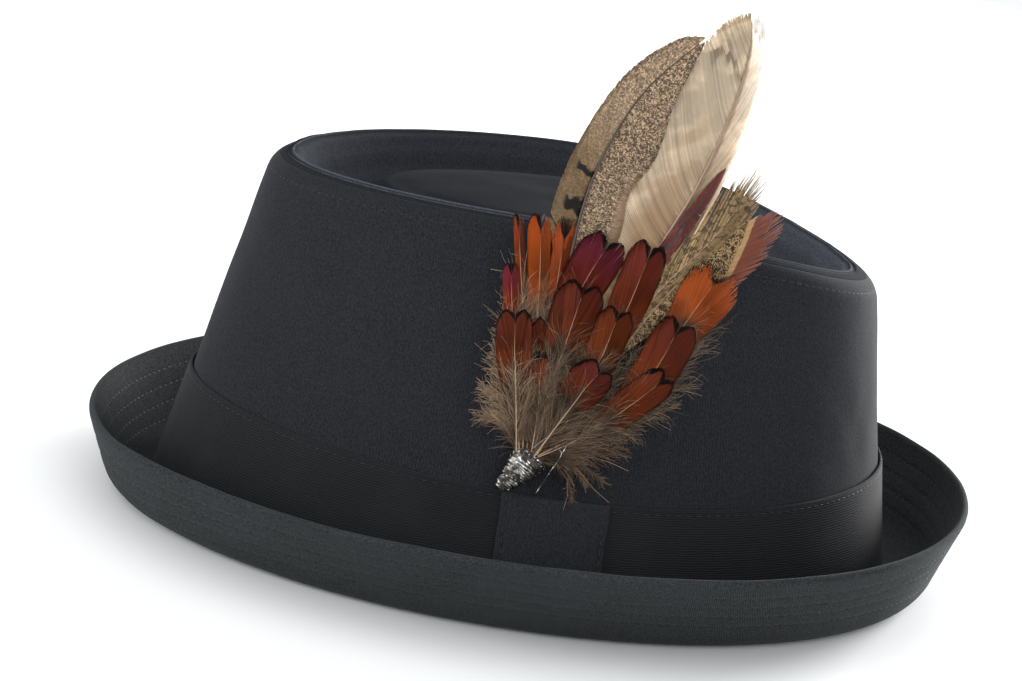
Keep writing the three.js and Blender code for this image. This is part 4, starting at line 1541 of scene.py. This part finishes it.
class HatPlumeSettings(bpy.types.PropertyGroup):
    """Colours and fullness of the plume."""

    orange: dye_setting("Orange", "orange feathers", (0.4, 0.082, 0.013))
    crimson: dye_setting("Crimson", "crimson feathers", (0.22, 0.018, 0.01))
    buff: dye_setting("Buff", "brown feather", (0.3, 0.195, 0.1))
    cream: dye_setting("Cream", "cream feather", (0.52, 0.42, 0.3))
    fluff: dye_setting("Down", "down", (0.2, 0.134, 0.085))
    down_barbs: IntProperty(name="Down barbs", description="Barbs in each lock of down", default=180, min=10)
    fluff_barbs: IntProperty(name="Fluff barbs", description="Barbs at each feather's foot", default=200, min=10)


class HatStageSettings(bpy.types.PropertyGroup):
    """Light and floor of the picture."""

    floor_size: FloatProperty(name="Floor size", description="Width of the floor", default=6.0, unit="LENGTH")
    world_light: FloatProperty(name="Surroundings", description="Strength of the white", default=1.1)
    light_power: FloatProperty(name="Lights", description="Power of the back light", default=32, unit="POWER")


def settings():
    scene = bpy.context.scene
    return scene.hat_cloth, scene.hat_plume, scene.hat_stage


def settle(piece, slot, *nodes):
    """Puts a piece on the root body and hides the nodes that it stands for; the slot argument is not used."""
    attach(piece, "root")
    if nodes:
        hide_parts(*nodes)


class HAT_OT_crown(bpy.types.Operator):
    """Makes the side and the tip of the crown with their stitching"""

    bl_idname = "hat.crown"
    bl_label = "Crown"

    def execute(self, context):
        cloth, _, _ = settings()
        twill = twill_material("crown twill", cloth.crown_colour, 0.75, 0.12, lean=0, ribbed=0.1, grainy=0.55)
        thread = thread_material("crown thread", colour_of(cloth.thread_colour, 0.48))
        settle(make_crown_side(twill), "twill", "crown_side")
        tip_dye = colour_of(cloth.crown_colour, 1.15)
        finer = {"ribbed": 0.0, "nap": 0.012, "grainy": 0.4}
        tip_twill = twill_material("crown tip twill", tip_dye, cloth.twill_pitch, 0.0, **finer)
        settle(make_crown_tip(tip_twill), "twill", "crown_tip")
        settle(crown_stitching(thread, cloth.stitch_pitch), "twill")
        return {"FINISHED"}


class HAT_OT_brim(bpy.types.Operator):
    """Makes the turned-up brim with its rows of stitching"""

    bl_idname = "hat.brim"
    bl_label = "Brim"

    def execute(self, context):
        cloth, _, _ = settings()
        twill = twill_material("brim twill", cloth.brim_colour, cloth.twill_pitch, 0.3)
        thread = thread_material("brim thread", cloth.thread_colour)
        settle(make_brim(twill), "twill", "brim")
        settle(brim_stitching(thread, cloth.stitch_pitch), "twill")
        return {"FINISHED"}


class HAT_OT_band(bpy.types.Operator):
    """Makes the ribbed hatband and the tab over its ends"""

    bl_idname = "hat.band"
    bl_label = "Hatband and tab"

    def execute(self, context):
        cloth, _, _ = settings()
        ribbed = rib_material("band ribs", cloth.band_colour, cloth.rib_pitch)
        # Painted light: the tab's dye is the band's made 1.6 times lighter, to lift its dark cloth as hazy light
        # does.
        tab_dye_with_painted_light = colour_of(cloth.band_colour, 1.6)
        plain = twill_material("tab twill", tab_dye_with_painted_light, cloth.twill_pitch, 0.1, grainy=0.6)
        thread = thread_material("band thread", cloth.thread_colour)
        settle(make_hatband(ribbed), "ribbed_band", "hatband")
        settle(band_stitching(thread, cloth.stitch_pitch), "ribbed_band")
        settle(make_tab(plain), "twill", "band_tab")
        settle(tab_stitching(thread, cloth.stitch_pitch), "twill")
        return {"FINISHED"}


class HAT_OT_binding(bpy.types.Operator):
    """Winds the silver thread round the plume's stem"""

    bl_idname = "hat.binding"
    bl_label = "Plume binding"

    def execute(self, context):
        silver = silver_material("silver thread", (0.7, 0.67, 0.62))
        horn = quill_material("bound quills", (0.07, 0.052, 0.038), 0.5)
        settle(make_binding(silver), "silver_thread", "plume_binding")
        settle(make_quill_bundle(horn), "feathers")
        settle(make_loose_threads(silver), "silver_thread")
        return {"FINISHED"}


class HAT_OT_plume(bpy.types.Operator):
    """Makes the feathers barb by barb, and the down round their foot"""

    bl_idname = "hat.plume"
    bl_label = "Plume"

    def execute(self, context):
        _, plume, _ = settings()
        copper = copper_material("copper feather", plume.orange, plume.crimson, plume.fluff)
        brown = brown_material("barred brown feather", plume.buff, (0.045, 0.031, 0.022))
        cream = cream_material("cream feather", plume.cream, (0.3, 0.17, 0.075))
        maroon = plain_feather_material("maroon feather", (0.16, 0.03, 0.022), (0.075, 0.02, 0.015))
        dark_brown = (0.04, 0.026, 0.015)
        mottled = mottled_material("mottled feather", (0.4, 0.27, 0.13), dark_brown, (0.2, 0.062, 0.036))
        horn = quill_material("feather shaft", (0.46, 0.31, 0.19), 0.9)
        pale_horn = quill_material("cream feather shaft", (0.5, 0.3, 0.2), 0.5)
        dark_horn = quill_material("brown feather shaft", (0.05, 0.03, 0.018), 0.6)
        bodies = []
        for *shape, tint, light, form, shown in BODY_FEATHERS:
            looks = {"tint": tint, "light": light, "rough": ROUGHNESS.get(form, CRISP), "shown": shown}
            bodies.append(Feather(*shape, (form, form), shaft_end=0.92, **looks))
        groups = (
            ("copper_feathers", bodies, copper, horn),
            ("brown_feather", [BROWN_FEATHER], brown, dark_horn),
            ("cream_feather", [CREAM_FEATHER], cream, pale_horn),
            ("maroon_slip", [MAROON_SLIP], maroon, dark_horn),
            ("mottled_feathers", [STRIPED_WISP, MOTTLED_FAN], mottled, horn),
        )
        for name, feathers, dye, shaft in groups:
            vanes, quills = feather_parts(feathers, 11)
            made = finish_mesh(joined(vanes), name, dye, merge=1e-6, recalculate=False)
            settle(made, "feathers", *(("plume",) if name == "copper_feathers" else ()))
            settle(finish_mesh(joined(quills), name + "_shafts", shaft, merge=1e-6), "feathers")
        fluff = down_material("down", colour_of(plume.fluff, 0.32), colour_of(plume.fluff, 1.9))
        strands = []
        for number, feather in enumerate(bodies):
            out_range = (feather.out[0] + feather.cup, feather.out[1] + feather.cup)
            rng = random.Random(70 + number)
            barbs = downy_barbs(feather.spine, FLUFF_RANGE, out_range, FLUFF_SIZES, rng, plume.fluff_barbs)
            strands += barbs
        settle(finish_mesh(strand_mesh(strands), "feather_fluff", fluff, 1e-6, recalculate=False), "feathers")
        strands = []
        for number, (spine, size_range, out_range) in enumerate(DOWN_LOCKS):
            rng = random.Random(40 + number)
            size_range = (size_range[0] * 1.2, size_range[1] * 1.5)
            strands += downy_barbs(spine, (0.0, 0.96), out_range, size_range, rng, plume.down_barbs)
        for shaft in BARE_SHAFTS:
            strands.append(([(across, up, 6.2) for across, up in shaft], 0.1, 0.6, 0.8))
        settle(finish_mesh(strand_mesh(strands), "down", fluff, 1e-6, recalculate=False), "feathers")
        return {"FINISHED"}


# The picture's camera, in metres, with Z up from the surface that the hat rests on.
CAMERA_PLACE = Vector((0.83160, -0.14172, 0.25765))
CAMERA_RIGHT = Vector((0.12863, 0.97973, 0.15355))
CAMERA_UP = Vector((-0.25922, -0.11624, 0.95880))
CAMERA_LENS = 109.82
CAMERA_SHIFT = (-0.03323, 0.01225)


# Each light's place in metres, its share of the set power and its size in metres.
LIGHTS = (
    ("fill light", (1.1, 0.25, 0.45), 0.1, 1.0),
    ("back light", (-0.85, 1.0, 0.28), 1.0, 0.5),
    ("front light", (0.25, -1.2, 0.42), 0.26, 0.8),
)


def aimed_light(name, place, target, power, size):
    lamp = bpy.data.lights.new(name, "AREA")
    lamp.shape = "DISK"
    lamp.size = size
    lamp.energy = power
    made = bpy.data.objects.new(name, lamp)
    made.location = place
    made.rotation_euler = (Vector(target) - Vector(place)).to_track_quat("-Z", "Y").to_euler()
    bpy.context.scene.collection.objects.link(made)
    return made


class HAT_OT_stage(bpy.types.Operator):
    """Sets the pale floor, the soft light and the camera"""

    bl_idname = "hat.stage"
    bl_label = "Stage"

    def execute(self, context):
        _, _, stage = settings()
        scene = context.scene
        pale = Nodes("pale floor")
        pale.set(Base_Color=(0.87, 0.875, 0.88, 1.0), Roughness=0.7)
        bm = bmesh.new()
        bmesh.ops.create_circle(bm, cap_ends=True, segments=96, radius=stage.floor_size / 2 / MM)
        floor = finish_mesh(bm, "floor", pale.material)
        floor.data.polygons[0].use_smooth = False
        world = bpy.data.worlds.new("white surroundings")
        world.use_nodes = True
        back = world.node_tree.nodes["Background"]
        back.inputs["Color"].default_value = (0.97, 0.985, 1.0, 1.0)
        back.inputs["Strength"].default_value = stage.world_light
        scene.world = world
        hat_middle = (0.0, 0.0, 0.05)
        for name, place, share, size in LIGHTS:
            aimed_light(name, place, hat_middle, stage.light_power * share, size)
        lens = bpy.data.cameras.new("camera")
        lens.lens = CAMERA_LENS
        lens.sensor_width = 36
        lens.sensor_fit = "HORIZONTAL"
        lens.shift_x, lens.shift_y = CAMERA_SHIFT
        lens.clip_start = 0.01
        lens.dof.use_dof = False
        camera = bpy.data.objects.new("camera", lens)
        right = CAMERA_RIGHT.normalized()
        back_way = right.cross(CAMERA_UP).normalized()
        up = back_way.cross(right)
        turned = Matrix((right, up, back_way)).transposed().to_4x4()
        camera.matrix_world = Matrix.Translation(CAMERA_PLACE) @ turned
        scene.collection.objects.link(camera)
        scene.camera = camera
        scene.view_settings.view_transform = "Standard"
        return {"FINISHED"}


class HAT_PT_panel(bpy.types.Panel):
    """Lists the pieces of the hat"""

    bl_idname = "HAT_PT_panel"
    bl_label = "Porkpie hat"
    bl_space_type = "VIEW_3D"
    bl_region_type = "UI"
    bl_category = "Hat"

    def draw(self, context):
        layout = self.layout
        for group in settings():
            for name in group.__annotations__:
                layout.prop(group, name)
        for operator in OPERATORS:
            layout.operator(operator.bl_idname)


SETTINGS = (HatClothSettings, HatPlumeSettings, HatStageSettings)
OPERATORS = (HAT_OT_stage, HAT_OT_crown, HAT_OT_brim, HAT_OT_band, HAT_OT_binding, HAT_OT_plume)


def register():
    for item in SETTINGS + OPERATORS + (HAT_PT_panel,):
        bpy.utils.register_class(item)
    bpy.types.Scene.hat_cloth = PointerProperty(type=HatClothSettings)
    bpy.types.Scene.hat_plume = PointerProperty(type=HatPlumeSettings)
    bpy.types.Scene.hat_stage = PointerProperty(type=HatStageSettings)


def unregister():
    del bpy.types.Scene.hat_cloth
    del bpy.types.Scene.hat_plume
    del bpy.types.Scene.hat_stage
    for item in reversed(SETTINGS + OPERATORS + (HAT_PT_panel,)):
        bpy.utils.unregister_class(item)


def main():
    register()
    bpy.ops.hat.stage()
    bpy.ops.hat.crown()
    bpy.ops.hat.brim()
    bpy.ops.hat.band()
    bpy.ops.hat.binding()
    bpy.ops.hat.plume()


if __name__ == "__main__":
    main()
